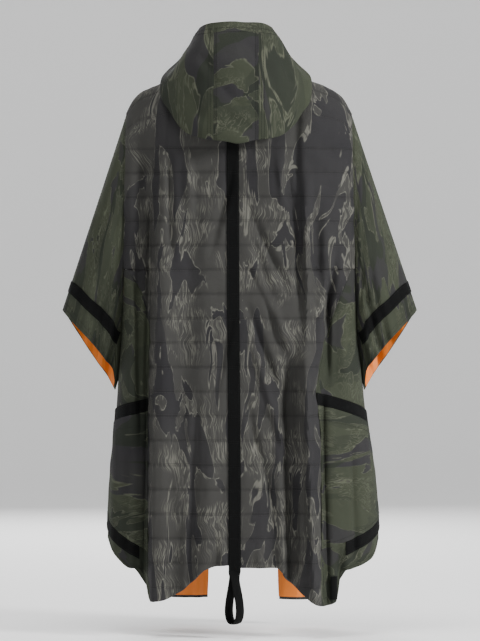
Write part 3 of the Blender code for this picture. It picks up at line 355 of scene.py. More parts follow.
def section(face, hand, share, z):
    """Point of the hanging cloth: share 0 at the centre line, 1 at the armhole or side seam."""
    heights = SECTION["z"]
    half = smooth(z, heights, SECTION[HANDS[hand]])
    depth = smooth(z, heights, SECTION[FACES[face]])
    wide_y = smooth(z, heights, SECTION["wide_y"])
    edge_y = smooth(z, heights, SECTION["edge_y"])
    edge_x = half - smooth(z, heights, SECTION["edge_in"])
    centre = hand * smooth(z, CENTRE_Z, CENTRE_X[face, hand])
    ratio = (edge_y - wide_y) / (depth - wide_y)
    cosine = ratio / (1 + SECTION_FULLNESS)
    for _ in range(4):
        value = cosine * (1 + SECTION_FULLNESS * (1 - cosine ** 2))
        cosine = cosine - (value - ratio) / (1 + SECTION_FULLNESS * (1 - 3 * cosine ** 2))
    edge_angle = np.arccos(cosine)
    angle = share * edge_angle
    fill = np.cos(angle) * (1 + SECTION_FULLNESS * np.sin(angle) ** 2)
    reach = edge_x - centre - (half - centre) * np.sin(edge_angle)
    x = centre + (half - centre) * np.sin(angle) + reach * share ** 4
    y = wide_y + (depth - wide_y) * fill
    y = y + folds(face, hand, x, z) * (1 - share ** 14)
    return np.stack([hand * x, face * y, z + 0 * x], -1)


def folds(face, hand, x, z):
    """Depth of all folds of one half at distance x from the middle and height z."""
    total = 0.0 * x
    for fold in (*FOLDS[face, hand].values(), *CREASES[face, hand].values()):
        row = dict(zip(FOLD_COLUMNS, fold))
        along = np.clip((row["top"] - z) / (row["top"] - max(row["low"], -1.12)), 0, 1)
        line = row["x_top"] + (row["x_low"] - row["x_top"]) * along
        off = x - line
        width = np.where(off < 0, row["inner"], row["outer"])
        shape = hump(off / (2 * width))
        fade = (step(-z, -row["top"], -row["top"] + FOLD_FADE)
                * (1 - step(-z, -row["low"] - FOLD_FADE, -row["low"])))
        total = total + row["depth"] * shape * fade
    return total


def cloth(face, hand, share, h):
    """Point of a half; h <= 0 hangs below the chest line, h from 0 to 1 rounds the shoulder."""
    share, h = np.broadcast_arrays(np.asarray(share, float), np.asarray(h, float))
    hung = section(face, hand, share, CHEST_Z + np.minimum(h, 0.0))
    chest = section(face, hand, share, np.full(share.shape, CHEST_Z))
    wide = section(face, hand, np.ones(share.shape), np.full(share.shape, CHEST_Z))
    notch = section(face, hand, np.full(share.shape, NECK_SHARE), np.full(share.shape, CHEST_Z))
    centre = hand * smooth(0.04, CENTRE_Z, CENTRE_X[face, hand])
    quarter = np.clip(share / NECK_SHARE, 0, 1) * math.pi / 2
    beyond = np.clip((chest[..., 0] - notch[..., 0]) / (wide[..., 0] - notch[..., 0]), 0, 1)
    on_neck = share < NECK_SHARE
    top_x = np.where(on_neck, centre + (NECK_HALF - centre) * np.sin(quarter),
                     NECK_HALF + (SHOULDER_X[-1] - NECK_HALF) * beyond)
    top_y = np.where(on_neck, NECK_Y[face] * np.cos(quarter), 0.0)
    top_z = np.where(on_neck, NECK_Z[face] + (NECK_SIDE_Z - NECK_Z[face]) * (1 - np.cos(quarter)),
                     smooth(top_x, SHOULDER_X, SHOULDER_Z))
    turn = (1 - np.clip(h, 0, 1)) * math.pi / 2
    x = hand * top_x + (chest[..., 0] - hand * top_x) * (1 - np.cos(turn))
    y = face * top_y + (chest[..., 1] - face * top_y) * np.sin(turn)
    z = CHEST_Z + (top_z - CHEST_Z) * np.cos(turn)
    return np.where((h > 0)[..., None], np.stack([x, y, z], -1), hung)


def hem_height(face, hand, share):
    """Height of the hem at a share of a half."""
    reference = section(face, hand, share, np.full(np.shape(share), HEM_REFERENCE_Z))
    distance = np.abs(reference[..., 0] * hand)
    start = abs(smooth(HEM_REFERENCE_Z, CENTRE_Z, CENTRE_X[face, hand])) if face < 0 else 0.0
    table = HEM[face, hand]
    return smooth(np.maximum(distance, start * 0.5), [x for x, _ in table], [z for _, z in table])


def seam_share(face, hand, z):
    """Share of a half at which its side panel is sewn on, 1 above the side panel."""
    table = PANEL_SEAM[face, hand]
    wanted = smooth(z, [row[0] for row in table], [row[1] for row in table])
    shares = np.linspace(SEAMS_FROM, 1.0, 141)
    xs = np.abs(section(face, hand, shares, np.full(shares.shape, float(z)))[:, 0])
    if z > CHEST_Z - GORE_TOP * CHANNEL + 1e-6:
        return 1.0
    return float(np.interp(wanted, np.maximum.accumulate(xs), shares))


def run_along(points):
    """Length along a row of points, starting at 0."""
    return np.concatenate([[0], np.cumsum(np.linalg.norm(np.diff(points, axis=0), axis=1))])


def on_path(where, run, path):
    """Points of a path at the given values of its run."""
    return np.stack([np.interp(where, run, path[:, axis]) for axis in range(3)], -1)


def even_columns(path_shares, points, count):
    """Shares at which columns stand evenly along the cloth."""
    lengths = run_along(points)
    return np.interp(np.linspace(0.0, lengths[-1], count + 1), lengths, path_shares)


def sleeve_hem(face, hand, share):
    """Point of a sleeve's hem, share 0 at the arm line and 1 at the underarm."""
    table = dict(zip(SLEEVE_HEM_COLUMNS, zip(*SLEEVE_HEM)))
    stations = table["share"]
    x = smooth(share, stations, table["x"])
    y = smooth(share, stations, table[FACES[face] + "_y"])
    z = smooth(share, stations, table[FACES[face] + "_z"])
    if hand < 0:
        x = x + RIGHT_SLEEVE_WIDER
    return np.array([hand * x, y, z])


HOOD_TABLE = (721, 401)       # angles and shares in the table of the hood's profile


def hood_table():
    """Radius and height of the hood's cloth on an even table of angles and profile shares."""
    columns = dict(zip(HOOD_COLUMNS, zip(*HOOD_SECTIONS)))
    names = ("neck", "stand", "bag", "swell", "rim")
    angles = np.linspace(0, 180, HOOD_TABLE[0])
    shares = np.linspace(0, 1, HOOD_TABLE[1])
    table = []
    for stops, end in ((HOOD_R_STOPS, "_r"), (HOOD_Z_STOPS, "_z")):
        stations = np.array([smooth(angles, columns["angle"], columns[name + end])
                             for name in names])
        table.append([smooth(shares, stops, stations[:, i]) for i in range(len(angles))])
    return np.array(table)


HOOD_SHEET = hood_table()


def hood_profile(angle, along):
    """Radius and height of the hood's cloth at angles in degrees and shares of its profile."""
    a = np.clip(angle, 0, 180) / 180 * (HOOD_TABLE[0] - 1)
    b = np.clip(along, 0, 1) * (HOOD_TABLE[1] - 1)
    i = np.minimum(a.astype(int), HOOD_TABLE[0] - 2)
    j = np.minimum(b.astype(int), HOOD_TABLE[1] - 2)
    u, v = a - i, b - j
    return ((HOOD_SHEET[:, i, j] * (1 - v) + HOOD_SHEET[:, i, j + 1] * v) * (1 - u)
            + (HOOD_SHEET[:, i + 1, j] * (1 - v) + HOOD_SHEET[:, i + 1, j + 1] * v) * u)


def ripple(a, b, wavelength, seed, waves=7):
    """Uneven soft ripple between -1 and 1, from plane waves of about one wavelength."""
    random = np.random.default_rng(seed)
    total = 0.0
    for _ in range(waves):
        turn = random.uniform(0, 2 * math.pi)
        number = 2 * math.pi / (wavelength * random.uniform(0.7, 1.6))
        total = total + np.sin(number * (math.cos(turn) * a + math.sin(turn) * b)
                               + random.uniform(0, 2 * math.pi))
    return total / waves ** 0.5 * 0.8


def unit(vectors):
    """Vectors made one long."""
    return vectors / np.maximum(np.linalg.norm(vectors, axis=-1, keepdims=True), 1e-12)


def grid_normals(points, sign):
    """Unit normals of a grid of points, turned the way the sign says."""
    across = np.gradient(points, axis=1)
    down = np.gradient(points, axis=0)
    return unit(np.cross(across, down)) * sign


def flat_width(points):
    """Length of every row of a grid, from its first column."""
    steps = np.linalg.norm(np.diff(points, axis=1), axis=2)
    return np.concatenate([np.zeros((len(points), 1)), np.cumsum(steps, axis=1)], axis=1)


def band_pattern(points):
    """Flat-pattern UVs of webbing whose rows run along it."""
    across = run_along(points[:, points.shape[1] // 2])
    return np.stack([0 * points[..., 0] + across[:, None], flat_width(points)], -1)


def cloth_area(points):
    """Area of a grid of points."""
    return float(np.linalg.norm(np.cross(points[1:, :-1] - points[:-1, :-1],
                                         points[:-1, 1:] - points[:-1, :-1]), axis=2).sum())


# ---- meshes ----------------------------------------------------------------------------------
SHARP_ANGLE = math.radians(50)
LEAST_FILL = 0.32             # part of its box that a cut fills at least, once laid straight


def make_object(name, vertices, faces, finish, uvs=None):
    """A smooth-shaded mesh object at the origin, with flat-pattern UVs in metres."""
    mesh = bpy.data.meshes.new(name)
    mesh.from_pydata(np.asarray(vertices, float).tolist(), [], faces)
    if uvs is not None:
        layer = mesh.uv_layers.new(name="flat_pattern")
        corner = np.empty(len(mesh.loops), dtype=np.int32)
        mesh.loops.foreach_get("vertex_index", corner)
        layer.data.foreach_set("uv", np.asarray(uvs, float)[corner].ravel())
    mesh.shade_smooth()
    mesh.set_sharp_from_angle(angle=SHARP_ANGLE)
    mesh.materials.append(finish)
    piece = bpy.data.objects.new(name, mesh)
    bpy.context.scene.collection.objects.link(piece)
    return piece


def make_wall(name, outer, inner, finish, uvs):
    """A closed wall between two grids of points, its faces turned outwards."""
    rows, columns = outer.shape[:2]
    size = rows * columns
    index = np.arange(size).reshape(rows, columns)
    a, b = index[:-1, :-1].ravel(), index[:-1, 1:].ravel()
    c, d = index[1:, 1:].ravel(), index[1:, :-1].ravel()
    front = np.stack([a, d, c, b], 1)
    back = np.stack([a, b, c, d], 1) + size
    edge = np.concatenate([index[0], index[1:, -1], index[-1, -2::-1], index[-2:0:-1, 0]])
    ahead = np.roll(edge, -1)
    rim = np.stack([edge, ahead, ahead + size, edge + size], 1)
    faces = np.concatenate([front, back, rim]).tolist()
    vertices = np.concatenate([outer.reshape(-1, 3), inner.reshape(-1, 3)])
    pattern = np.asarray(uvs).reshape(-1, 2)
    return turn_out(make_object(name, vertices, faces, finish,
                                np.concatenate([pattern, pattern])))


def turn_out(piece):
    """Turn a closed piece's faces outwards where they all point in."""
    mesh = piece.data
    mesh.calc_loop_triangles()
    corners = np.empty(len(mesh.loop_triangles) * 3, dtype=np.int32)
    mesh.loop_triangles.foreach_get("vertices", corners)
    points = np.empty(len(mesh.vertices) * 3)
    mesh.vertices.foreach_get("co", points)
    tri = points.reshape(-1, 3)[corners.reshape(-1, 3)]
    if np.einsum("ij,ij->i", tri[:, 0], np.cross(tri[:, 1], tri[:, 2])).sum() < 0:
        mesh.flip_normals()
    return piece


def add_cloth(name, outer, normals, wall, finish, uvs, nodes, lift=0.0,
              cut=None):
    """A cloth wall from its outer points, its flat size worked out from them or from the points
    given.

    It rides on the poncho and stands for its nodes.
    """
    piece = make_wall(name, outer + normals * lift, outer + normals * (lift - wall),
                      finish_of(finish), uvs)
    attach(piece, "root")
    if nodes:
        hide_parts(*nodes)
    declare_sheet(outer if cut is None else cut)


def declare_sheet(points):
    """Work out from its grid the flat size that a cloth piece was cut to; the size is not kept.

    A slanted cut is laid straight, which slims the box that its rows and columns give.
    """
    area = cloth_area(points)
    length = float(np.linalg.norm(np.diff(points, axis=0), axis=2).sum(axis=0).max())
    width = float(flat_width(points)[:, -1].max())
    slim = min(1.0, math.sqrt(area / (LEAST_FILL * width * length)))
    width, length = round(width * slim, 4), round(length * slim, 4)


# ---- grids of the worn cloth -----------------------------------------------------------------
HALF_ROWS_YOKE = 44
HALF_ROWS_LEVEL = 210
HALF_ROWS_HEM = 26
HALF_COLUMNS = 54
FRONT_FINE_COLUMNS = 40
SIDE_FINE_ROWS = 170
SIDE_FINE_COLUMNS = {1: 44, -1: 30}
POCKET_ROWS = 60
POCKET_COLUMNS = 40
BAND_ROWS = 8                 # of webbing, from edge to edge
LINING_ROWS = 40
PATH_STEPS = 161              # places measured along a row before its columns are set
PILLOW_EDGE = 2.4             # how soon a channel rises from its stitching
PUCKER = 0.00055              # height of the gathers along the stitching
PUCKER_LENGTH = 0.016         # from one gather to the next, about
PUCKER_REACH = 0.42           # how far from the stitching the gathers run, in half channels
LOOSE_LENGTH = 0.045          # from one loose crease of a channel to the next, about
LOOSE_CREASE = 0.0005


def half_levels():
    """Heights h of a fine half's rows, with the share of the way each row fans to the hem."""
    yoke = [(1 - i / HALF_ROWS_YOKE, 0.0) for i in range(HALF_ROWS_YOKE)]
    last = -CHANNEL * CHANNELS_DOWN
    level = [(last * i / HALF_ROWS_LEVEL, 0.0) for i in range(HALF_ROWS_LEVEL + 1)]
    fan = [(last, (i + 1) / HALF_ROWS_HEM) for i in range(HALF_ROWS_HEM)]
    return yoke + level + fan


def channel_at(h):
    """Quilting lines passed on the way down: whole numbers lie on the stitching."""
    return np.where(h > 0, -h * YOKE_ROWS, -h / CHANNEL)


def half_grid(face, hand, columns):
    """Points, heights h and flat-pattern UVs of a fine back or front half."""
    points, heights = [], []
    for h, fan in half_levels():
        def level(share, h=h, fan=fan):
            drop = hem_height(face, hand, share) - CHEST_Z
            return h + (drop - h) * fan if fan else np.full(np.shape(share), h)

        edge = 1.0
        if h < 0:
            edge = seam_share(face, hand, CHEST_Z + h)
            for _ in range(3 if fan else 0):
                edge = seam_share(face, hand, CHEST_Z + float(level(np.array([edge]))[0]))
        fine = np.linspace(0, edge, PATH_STEPS)
        shares = even_columns(fine, cloth(face, hand, fine, level(fine)), columns)
        row = level(shares)
        points.append(cloth(face, hand, shares, row))
        heights.append(row)
    points, heights = np.array(points), np.array(heights)
    down = run_along(points[:, 0])
    v = np.where(heights <= 0, CHEST_Z + heights, (CHEST_Z + down[HALF_ROWS_YOKE] - down)[:, None])
    return points, heights, np.stack([hand * flat_width(points), v], -1)


def quilt(points, normals, heights, seed):
    """Move a half's outer points out into pillows between the stitching, gathered along it."""
    line = channel_at(heights)
    off = np.abs(line - np.round(line)) * 2
    pillow = RELIEF * (1 - (1 - off) ** PILLOW_EDGE)
    along = points[..., 0] + 0.35 * points[..., 1]
    gather = ripple(along, points[..., 2] * 0.16, PUCKER_LENGTH, seed)
    crease = ripple(along, points[..., 2], LOOSE_LENGTH, seed + 1)
    near = np.exp(-(off / PUCKER_REACH) ** 2)
    raised = pillow * (0.85 + 0.25 * crease) + PUCKER * gather * near + LOOSE_CREASE * crease
    return points + normals * raised[..., None]


def side_levels(hand):
    """Seam height, side height and hem fan of a side panel's fine rows."""
    table = np.array(SIDE_ROWS[hand])
    places = np.linspace(0, len(table) - 1, SIDE_FINE_ROWS - HALF_ROWS_HEM)
    seam, side = (np.interp(places, np.arange(len(table)), column) for column in table.T)
    rows = [(a, b, 0.0) for a, b in zip(seam, side)]
    return rows + [(seam[-1], side[-1], (i + 1) / HALF_ROWS_HEM) for i in range(HALF_ROWS_HEM)]


def side_grid(face, hand, columns, rows=None, across=(0.0, 1.0)):
    """Points and flat-pattern UVs of a fine side panel, or of a strip of it."""
    points = []
    for seam_z, side_z, fan in rows or side_levels(hand):
        edge = seam_share(face, hand, seam_z)
        for _ in range(3 if fan else 0):
            low = float(hem_height(face, hand, np.array([edge]))[0])
            edge = seam_share(face, hand, seam_z + (low - seam_z) * fan)
        blend = np.linspace(0, 1, 121)
        shares = edge + (1 - edge) * blend
        level = seam_z + (side_z - seam_z) * blend
        if fan:
            level = level + (hem_height(face, hand, shares) - level) * fan
        path = cloth(face, hand, shares, level - CHEST_Z)
        placed = even_columns(blend, path, columns)
        placed = placed[0] + (placed - placed[0]) * (across[1] - across[0]) + across[0]
        points.append(cloth(face, hand, np.interp(placed, blend, shares),
                            np.interp(placed, blend, level) - CHEST_Z))
    points = np.array(points)
    u = abs(points[0, 0, 0]) + flat_width(points) * (1 if face > 0 else -1)
    return points, np.stack([hand * u, points[..., 2]], -1)


def sleeve_edge(hand, count):
    """Points round the armhole, from the underarm over the shoulder and down in front."""
    def climb(face):
        hung = cloth(face, hand, np.ones(count), np.linspace(UNDERARM_Z, CHEST_Z, count) - CHEST_Z)
        h = np.linspace(0, 1, count // 3)[1:]
        return np.concatenate([hung, cloth(face, hand, np.ones(len(h)), h)])
    back, front = climb(1), climb(-1)
    return np.concatenate([back, front[:-1][::-1]]), len(back) - 1


SLEEVE_ARMHOLE_STEPS = 60
SLEEVE_FINE_ROWS = 90
# Soft folds down a sleeve: place round it (0 underarm, 0.5 arm line, 1 underarm in front), its
# reach on each side, depth at the hem and how far towards the armhole it starts.
SLEEVE_FOLD_COLUMNS = ("place", "reach", "depth", "start")
SLEEVE_FOLDS = {
    1: ((0.16, 0.050, 0.007, 0.10), (0.27, 0.040, -0.006, 0.25), (0.37, 0.045, 0.005, 0.05),
        (0.46, 0.030, -0.004, 0.35), (0.62, 0.050, 0.006, 0.20), (0.78, 0.060, -0.006, 0.10)),
    -1: ((0.14, 0.045, 0.006, 0.20), (0.23, 0.040, -0.007, 0.05), (0.33, 0.040, 0.006, 0.30),
         (0.43, 0.035, -0.004, 0.10), (0.60, 0.050, -0.005, 0.15), (0.76, 0.060, 0.007, 0.30)),
}


def sleeve_grid(hand, rows=None):
    """Fine sleeve points, UVs and reach, rows from the armhole to the hem or a strip's rows."""
    edge, middle = sleeve_edge(hand, SLEEVE_ARMHOLE_STEPS)
    run = run_along(edge)
    shares = np.where(np.arange(len(edge)) <= middle, 1 - run / run[middle],
                      (run - run[middle]) / (run[-1] - run[middle]))
    faces = [1 if j <= middle else -1 for j in range(len(edge))]
    hem = np.array([sleeve_hem(face, hand, share) for face, share in zip(faces, shares)])
    tangent = unit(np.gradient(hem, axis=0))
    reach = np.linalg.norm(np.cross(hem - edge, tangent), axis=1)
    around = run / run[-1]
    lines = rows(reach) if rows else [np.full(len(edge), s)
                                      for s in np.linspace(0, 1, SLEEVE_FINE_ROWS)]
    belly = np.sin(np.pi * shares) ** 0.7 * np.array(faces)
    grid, uvs = [], []
    for share in lines:
        points = edge * (1 - share)[:, None] + hem * share[:, None]
        points[:, 1] += SLEEVE_BELLY * belly * np.sin(np.pi * share)
        points = points + sleeve_folds(hand, around, share, faces, shares)
        grid.append(points)
        down = SLEEVE_PATTERN_X + reach * share
        uvs.append(np.stack([hand * down, (around - 0.5) * run[-1]], -1))
    return np.array(grid), np.array(uvs), reach


def sleeve_folds(hand, around, share, faces, shares):
    """How far the sleeve's folds move its points, mostly to the back or the front."""
    total = 0.0 * around
    for fold in SLEEVE_FOLDS[hand]:
        row = dict(zip(SLEEVE_FOLD_COLUMNS, fold))
        shape = hump((around - row["place"]) / (2 * row["reach"]))
        total = total + row["depth"] * shape * step(share, row["start"], row["start"] + 0.5)
    total = total + SOFT_CREASE * ripple(around, share * 0.5, 0.09, 31 + hand)
    total = total * np.sin(np.pi * np.clip(shares, 0.02, 0.98)) ** 0.4 * step(share, 0.0, 0.06)
    return np.stack([0 * total, total * np.array(faces), 0 * total], -1)


HOOD_FINE_ROWS = 96
HOOD_SIDE_FINE = 84
HOOD_STRIP_FINE = 15


def neck_ring(hand):
    """The neckline's points on one side, by the angle they face from the centre back."""
    line = []
    for face in (1, -1):
        shares = np.linspace(0, NECK_SHARE, 60)
        part = cloth(face, hand, shares, np.ones(60))
        line.append(part if face > 0 else part[::-1])
    line = np.concatenate(line)
    return np.degrees(np.arctan2(hand * line[:, 0], line[:, 1])), line


def hood_point(hand, across, along, ring):
    """Hood cloth on one side: across 0 to 1 spans the centre strip, 1 to 2 the side piece."""
    strip = np.degrees(math.asin(HOOD_STRIP_HALF / 0.1)) + 0 * along
    for _ in range(5):
        strip = np.degrees(np.arcsin(np.minimum(HOOD_STEEPEST, HOOD_STRIP_HALF
                                                / hood_profile(strip, along)[0])))
    middle = hood_profile(strip * np.minimum(across, 1), along)[0]
    on_strip = np.degrees(np.arcsin(np.minimum(HOOD_STEEPEST,
                                               HOOD_STRIP_HALF * across / middle)))
    angle = np.where(across <= 1, on_strip, strip + (HOOD_END_ANGLE - strip) * (across - 1))
    r, z = hood_profile(angle, along)
    turn = np.radians(angle)
    shift = HOOD_CENTRE_X * step(along, 0.0, 0.4) * (1 - step(angle, 90, 170))
    point = np.stack([shift + hand * r * np.sin(turn), r * np.cos(turn), z], -1)
    facing, line = ring
    neck = on_path(angle, facing, line)
    neck[..., 2] += NECK_LIFT
    r0, z0 = hood_profile(angle, 0 * along)
    start = np.stack([hand * r0 * np.sin(turn), r0 * np.cos(turn), z0], -1)
    settled = np.maximum(0.0, 1 - along / HOOD_NECK_SHARE)
    return point + (neck - start) * settled[..., None]


# Creases pressed into the hood: start and end as (x, z) seen from behind, width and depth.
HOOD_CREASES = (
    (0.033, -0.010, -0.006, -0.046, 0.006, -0.0035),
    (-0.100, 0.052, -0.112, 0.020, 0.008, -0.0060),
    (0.075, 0.060, 0.050, 0.010, 0.010, -0.0030),
    (-0.060, 0.040, -0.085, -0.030, 0.009, -0.0032),
    (0.100, 0.020, 0.090, -0.050, 0.011, -0.0035),
    (-0.020, 0.090, -0.040, 0.060, 0.009, -0.0020),
    (0.020, -0.070, -0.030, -0.090, 0.009, -0.0028),
)
HOOD_CREASED_Y = (0.11, 0.135)        # y between which those creases come in


def hood_creases(points):
    """Depth of the hood's pressed creases at its points."""
    total = SOFT_CREASE * ripple(points[..., 0], points[..., 2], 0.05, 77)
    outside = step(points[..., 1], *HOOD_CREASED_Y)
    for x0, z0, x1, z1, width, depth in HOOD_CREASES:
        ax, az = x1 - x0, z1 - z0
        along = ((points[..., 0] - x0) * ax + (points[..., 2] - z0) * az) / (ax * ax + az * az)
        kept = np.clip(along, 0, 1)
        off = np.hypot(points[..., 0] - x0 - ax * kept, points[..., 2] - z0 - az * kept)
        total = total + depth * np.exp(-(off / width) ** 2) * outside
    return total


def hood_grid(hand, columns):
    """Fine points and UVs of a hood piece for one side, rows from the neck seam to the rim."""
    ring = neck_ring(hand)
    rows = np.linspace(0, 1, HOOD_FINE_ROWS)
    across, along = np.meshgrid(np.asarray(columns, float), rows)
    points = hood_point(hand, across, along, ring)
    middle = len(points) // 2
    down = run_along(points[:, len(columns) // 2])
    u = flat_width(points)
    across = points[middle, 0, 0] + hand * (u - u[:, :1])
    return points, np.stack([across, 0.1 - down[:, None] + 0 * u], -1)


# ---- finishes --------------------------------------------------------------------------------
class Socket:
    """A node socket that can stand in a sum, difference, product or quotient."""

    def __init__(self, finish, socket):
        self.finish, self.socket = finish, socket

    def math(self, operation, *others):
        """The value of one Math node fed with this socket first."""
        return self.finish.node("ShaderNodeMath", {"operation": operation},
                                dict(enumerate((self, *others)))).out()

    def __add__(self, other):
        return self.math("ADD", other)

    def __mul__(self, other):
        return self.math("MULTIPLY", other)

    def __sub__(self, other):
        return self.math("SUBTRACT", other)

    def __truediv__(self, other):
        return self.math("DIVIDE", other)

    def __rsub__(self, other):
        return self * -1 + other

    __radd__ = __add__
    __rmul__ = __mul__

    def between(self, low, high):
        """0 below low, 1 above high and a soft rise between them."""
        return self.finish.node("ShaderNodeMapRange", {"interpolation_type": "SMOOTHSTEP"},
                                {0: self, 1: low, 2: high, 3: 0.0, 4: 1.0}).out()


class Node:
    """A made node, whose outputs are handed on as sockets."""

    def __init__(self, finish, node):
        self.finish, self.node = finish, node

    def out(self, name=0):
        """One output, by name or number."""
        return Socket(self.finish, self.node.outputs[name])


class Finish:
    """A material under construction."""

    def __init__(self, name, roughness=0.8, specular=0.3):
        self.material = bpy.data.materials.new(name)
        self.material.use_nodes = True
        self.tree = self.material.node_tree
        self.shader = self.tree.nodes["Principled BSDF"]
        self.shader.inputs["Roughness"].default_value = roughness
        self.shader.inputs["Specular IOR Level"].default_value = specular

    def node(self, kind, settings=None, sockets=None):
        """A node with its settings made first and its sockets set or linked after."""
        node = self.tree.nodes.new(kind)
        for key, value in (settings or {}).items():
            setattr(node, key, value)
        for key, value in (sockets or {}).items():
            self.put(node.inputs[key], value)
        return Node(self, node)

    def put(self, target, value):
        """Link a socket to an input, or set the input's own value."""
        if isinstance(value, Socket):
            self.tree.links.new(value.socket, target)
        elif isinstance(value, tuple) and len(value) == 3 and target.type == "RGBA":
            target.default_value = (*value, 1.0)
        else:
            target.default_value = value

    def flat(self):
        """Flat-pattern coordinates of the cloth, in metres."""
        return self.node("ShaderNodeUVMap", {"uv_map": "flat_pattern"}).out()

    def scaled(self, vector, factors, offset=(0.0, 0.0, 0.0)):
        """A vector scaled along its axes and shifted."""
        return self.node("ShaderNodeVectorMath", {"operation": "MULTIPLY_ADD"},
                         {0: vector, 1: factors, 2: offset}).out()

    def noise(self, vector, scale, detail=2.0, roughness=0.5, distortion=0.0, output=0):
        """A noise texture's value, or its colour as output 1."""
        return self.node("ShaderNodeTexNoise", {}, {
            "Vector": vector, "Scale": scale, "Detail": detail, "Roughness": roughness,
            "Distortion": distortion}).out(output)

    def warped(self, vector, scale, amount):
        """A vector pushed about by a soft noise."""
        push = self.noise(vector, scale, 2.0, output=1)
        centred = self.node("ShaderNodeVectorMath", {"operation": "SUBTRACT"},
                            {0: push, 1: (0.5, 0.5, 0.5)}).out()
        return self.node("ShaderNodeVectorMath", {"operation": "MULTIPLY_ADD"},
                         {0: centred, 1: (amount, amount, 0.0), 2: vector}).out()

    def mix(self, factor, first, second):
        """Two colours mixed by a factor."""
        node = self.node("ShaderNodeMix", {"data_type": "RGBA"}, {})
        for key, value in ((0, factor), (6, first), (7, second)):
            self.put(node.node.inputs[key], value)
        return node.out(2)

    def bump(self, height, strength, distance, under=None):
        """A bump from a height in units of the distance, over another bump if one is given."""
        sockets = {"Height": height, "Strength": strength, "Distance": distance}
        if under:
            sockets["Normal"] = under
        return self.node("ShaderNodeBump", {}, sockets).out()

    def done(self, colour, normal=None):
        """Hand the colour and normal to the shader and give back the material."""
        self.put(self.shader.inputs["Base Color"], colour)
        if normal:
            self.put(self.shader.inputs["Normal"], normal)
        return self.material


WEAVE_PITCH = 0.0009          # of the plain cloth's threads
RIB_PITCH = 0.0021            # of the ribs across the webbing
WARP_PITCH = 0.0016           # of the warps along the webbing


def weave_bump(finish, flat):
    """Fine plain weave with a little crushed unevenness under it."""
    number = 2 * math.pi / WEAVE_PITCH
    parts = finish.node("ShaderNodeSeparateXYZ", {}, {0: flat})
    across = (parts.out(0) * number).math("SINE")
    down = (parts.out(1) * number).math("SINE")
    crush = finish.bump(finish.noise(flat, 55.0, 3.0, 0.6), 0.30, 0.0035)
    return finish.bump(across * down, 0.25, 0.0002, crush)


def painted_channel_shade(finish, flat):
    """Mask of the painted shade in the stitched valleys: 1 along the twin lines of the quilting
    below the chest and 0 between them.
    """
    height = finish.node("ShaderNodeSeparateXYZ", {}, {0: flat}).out(1)
    passed = (CHEST_Z - height) / CHANNEL
    off = ((passed + 0.5).math("FRACT") - 0.5).math("ABSOLUTE")
    return (1 - off.between(0.035, 0.085)) * passed.between(-0.3, -0.2)


GREEN_PRINT = ("plum_ground", "green_blob", "green_thread", "green_dark")
# Prints by cloth: names of the colours of the ground, stripes, hatching and second stripes, the
# stretch across and along the cloth, the shift, and how much is stripe and how much hatched.
PRINTS = {
    "back": (("grey_ground", "grey_blob", "pale_thread", None), (1.10, 0.30), (0.31, 0.12, 0.0),
             0.49, 0.80),
    "green": (GREEN_PRINT, (0.62, 0.62), (1.7, 0.4, 0.0), 0.47, 0.45),
    "hood": (GREEN_PRINT, (0.55, 0.75), (4.3, 2.9, 0.0), 0.50, 0.50),
    "pocket": (GREEN_PRINT, (0.30, 1.0), (6.2, 5.1, 0.0), 0.49, 0.45),
}
STRIPE_SCALE = 15.0           # noise features a metre in the stripes, and in their bending
BEND_SCALE = 11.0
HATCH_SCALE = 115.0           # hatching bands a metre, and the lines in each
HATCH_LINES = 6


def striped_print(cloth_name):
    """Camouflage of long torn stripes: a ground, hatched pale stripes, thin broken outlines."""
    (ground, blob, thread, spots), turn, offset, fullness, hatch = PRINTS[cloth_name]
    colours = bpy.context.scene.poncho_colours
    finish = Finish(f"{cloth_name}_cloth", roughness=0.85, specular=0.16)
    flat = finish.flat()
    placed = finish.scaled(flat, (turn[0], turn[1], 1.0), offset)
    bent = finish.warped(placed, BEND_SCALE, 0.09)
    field = finish.noise(bent, STRIPE_SCALE, 3.4, 0.52, 1.0)
    inside = field.between(fullness - 0.012, fullness + 0.004)
    rim = 1 - (field - fullness).math("ABSOLUTE").between(0.003, 0.012)
    bushy = finish.warped(finish.scaled(flat, (1.0, 1.0, 1.0), offset), 12.0, 0.06)
    grain = finish.scaled(bushy, (HATCH_SCALE * turn[0], HATCH_SCALE * turn[1] ** 2, 1.0))
    strands = finish.noise(grain, 1.0, 2.0, 0.55, 0.6)
    lines = ((strands * HATCH_LINES).math("FRACT") - 0.5).math("ABSOLUTE").between(0.26, 0.44)
    patchy = finish.noise(bushy, 13.0, 1.5).between(0.42, 0.60)
    broken = strands.between(0.34, 0.56)
    light = (lines * inside * patchy * hatch + rim * broken * (0.35 + hatch * 0.6))
    light = light.math("MINIMUM", 1.0)
    drift = finish.noise(flat, 5.0, 2.0).between(0.3, 0.7)
    base = finish.mix(inside, tuple(getattr(colours, ground)), tuple(getattr(colours, blob)))
    if spots:
        apart = finish.scaled(bent, (1.0, 1.0, 1.0), (3.1, 7.7, 0.0))
        second = finish.noise(apart, 13.0, 2.4, 0.5, 0.8).between(0.50, 0.515)
        base = finish.mix(second * (1 - inside * 0.6), base, tuple(getattr(colours, spots)))
    base = finish.mix(drift * 0.22, base, tuple(c * 1.5 for c in getattr(colours, blob)))
    colour = finish.mix(light, base, tuple(getattr(colours, thread)))
    if cloth_name == "back":
        # painted shade: the back's colour is darkened a little along the stitched valleys of its
        # quilting
        colour = finish.mix(painted_channel_shade(finish, flat) * 0.16, colour, (0.006, 0.006, 0.006))
    return finish.done(colour, weave_bump(finish, flat))


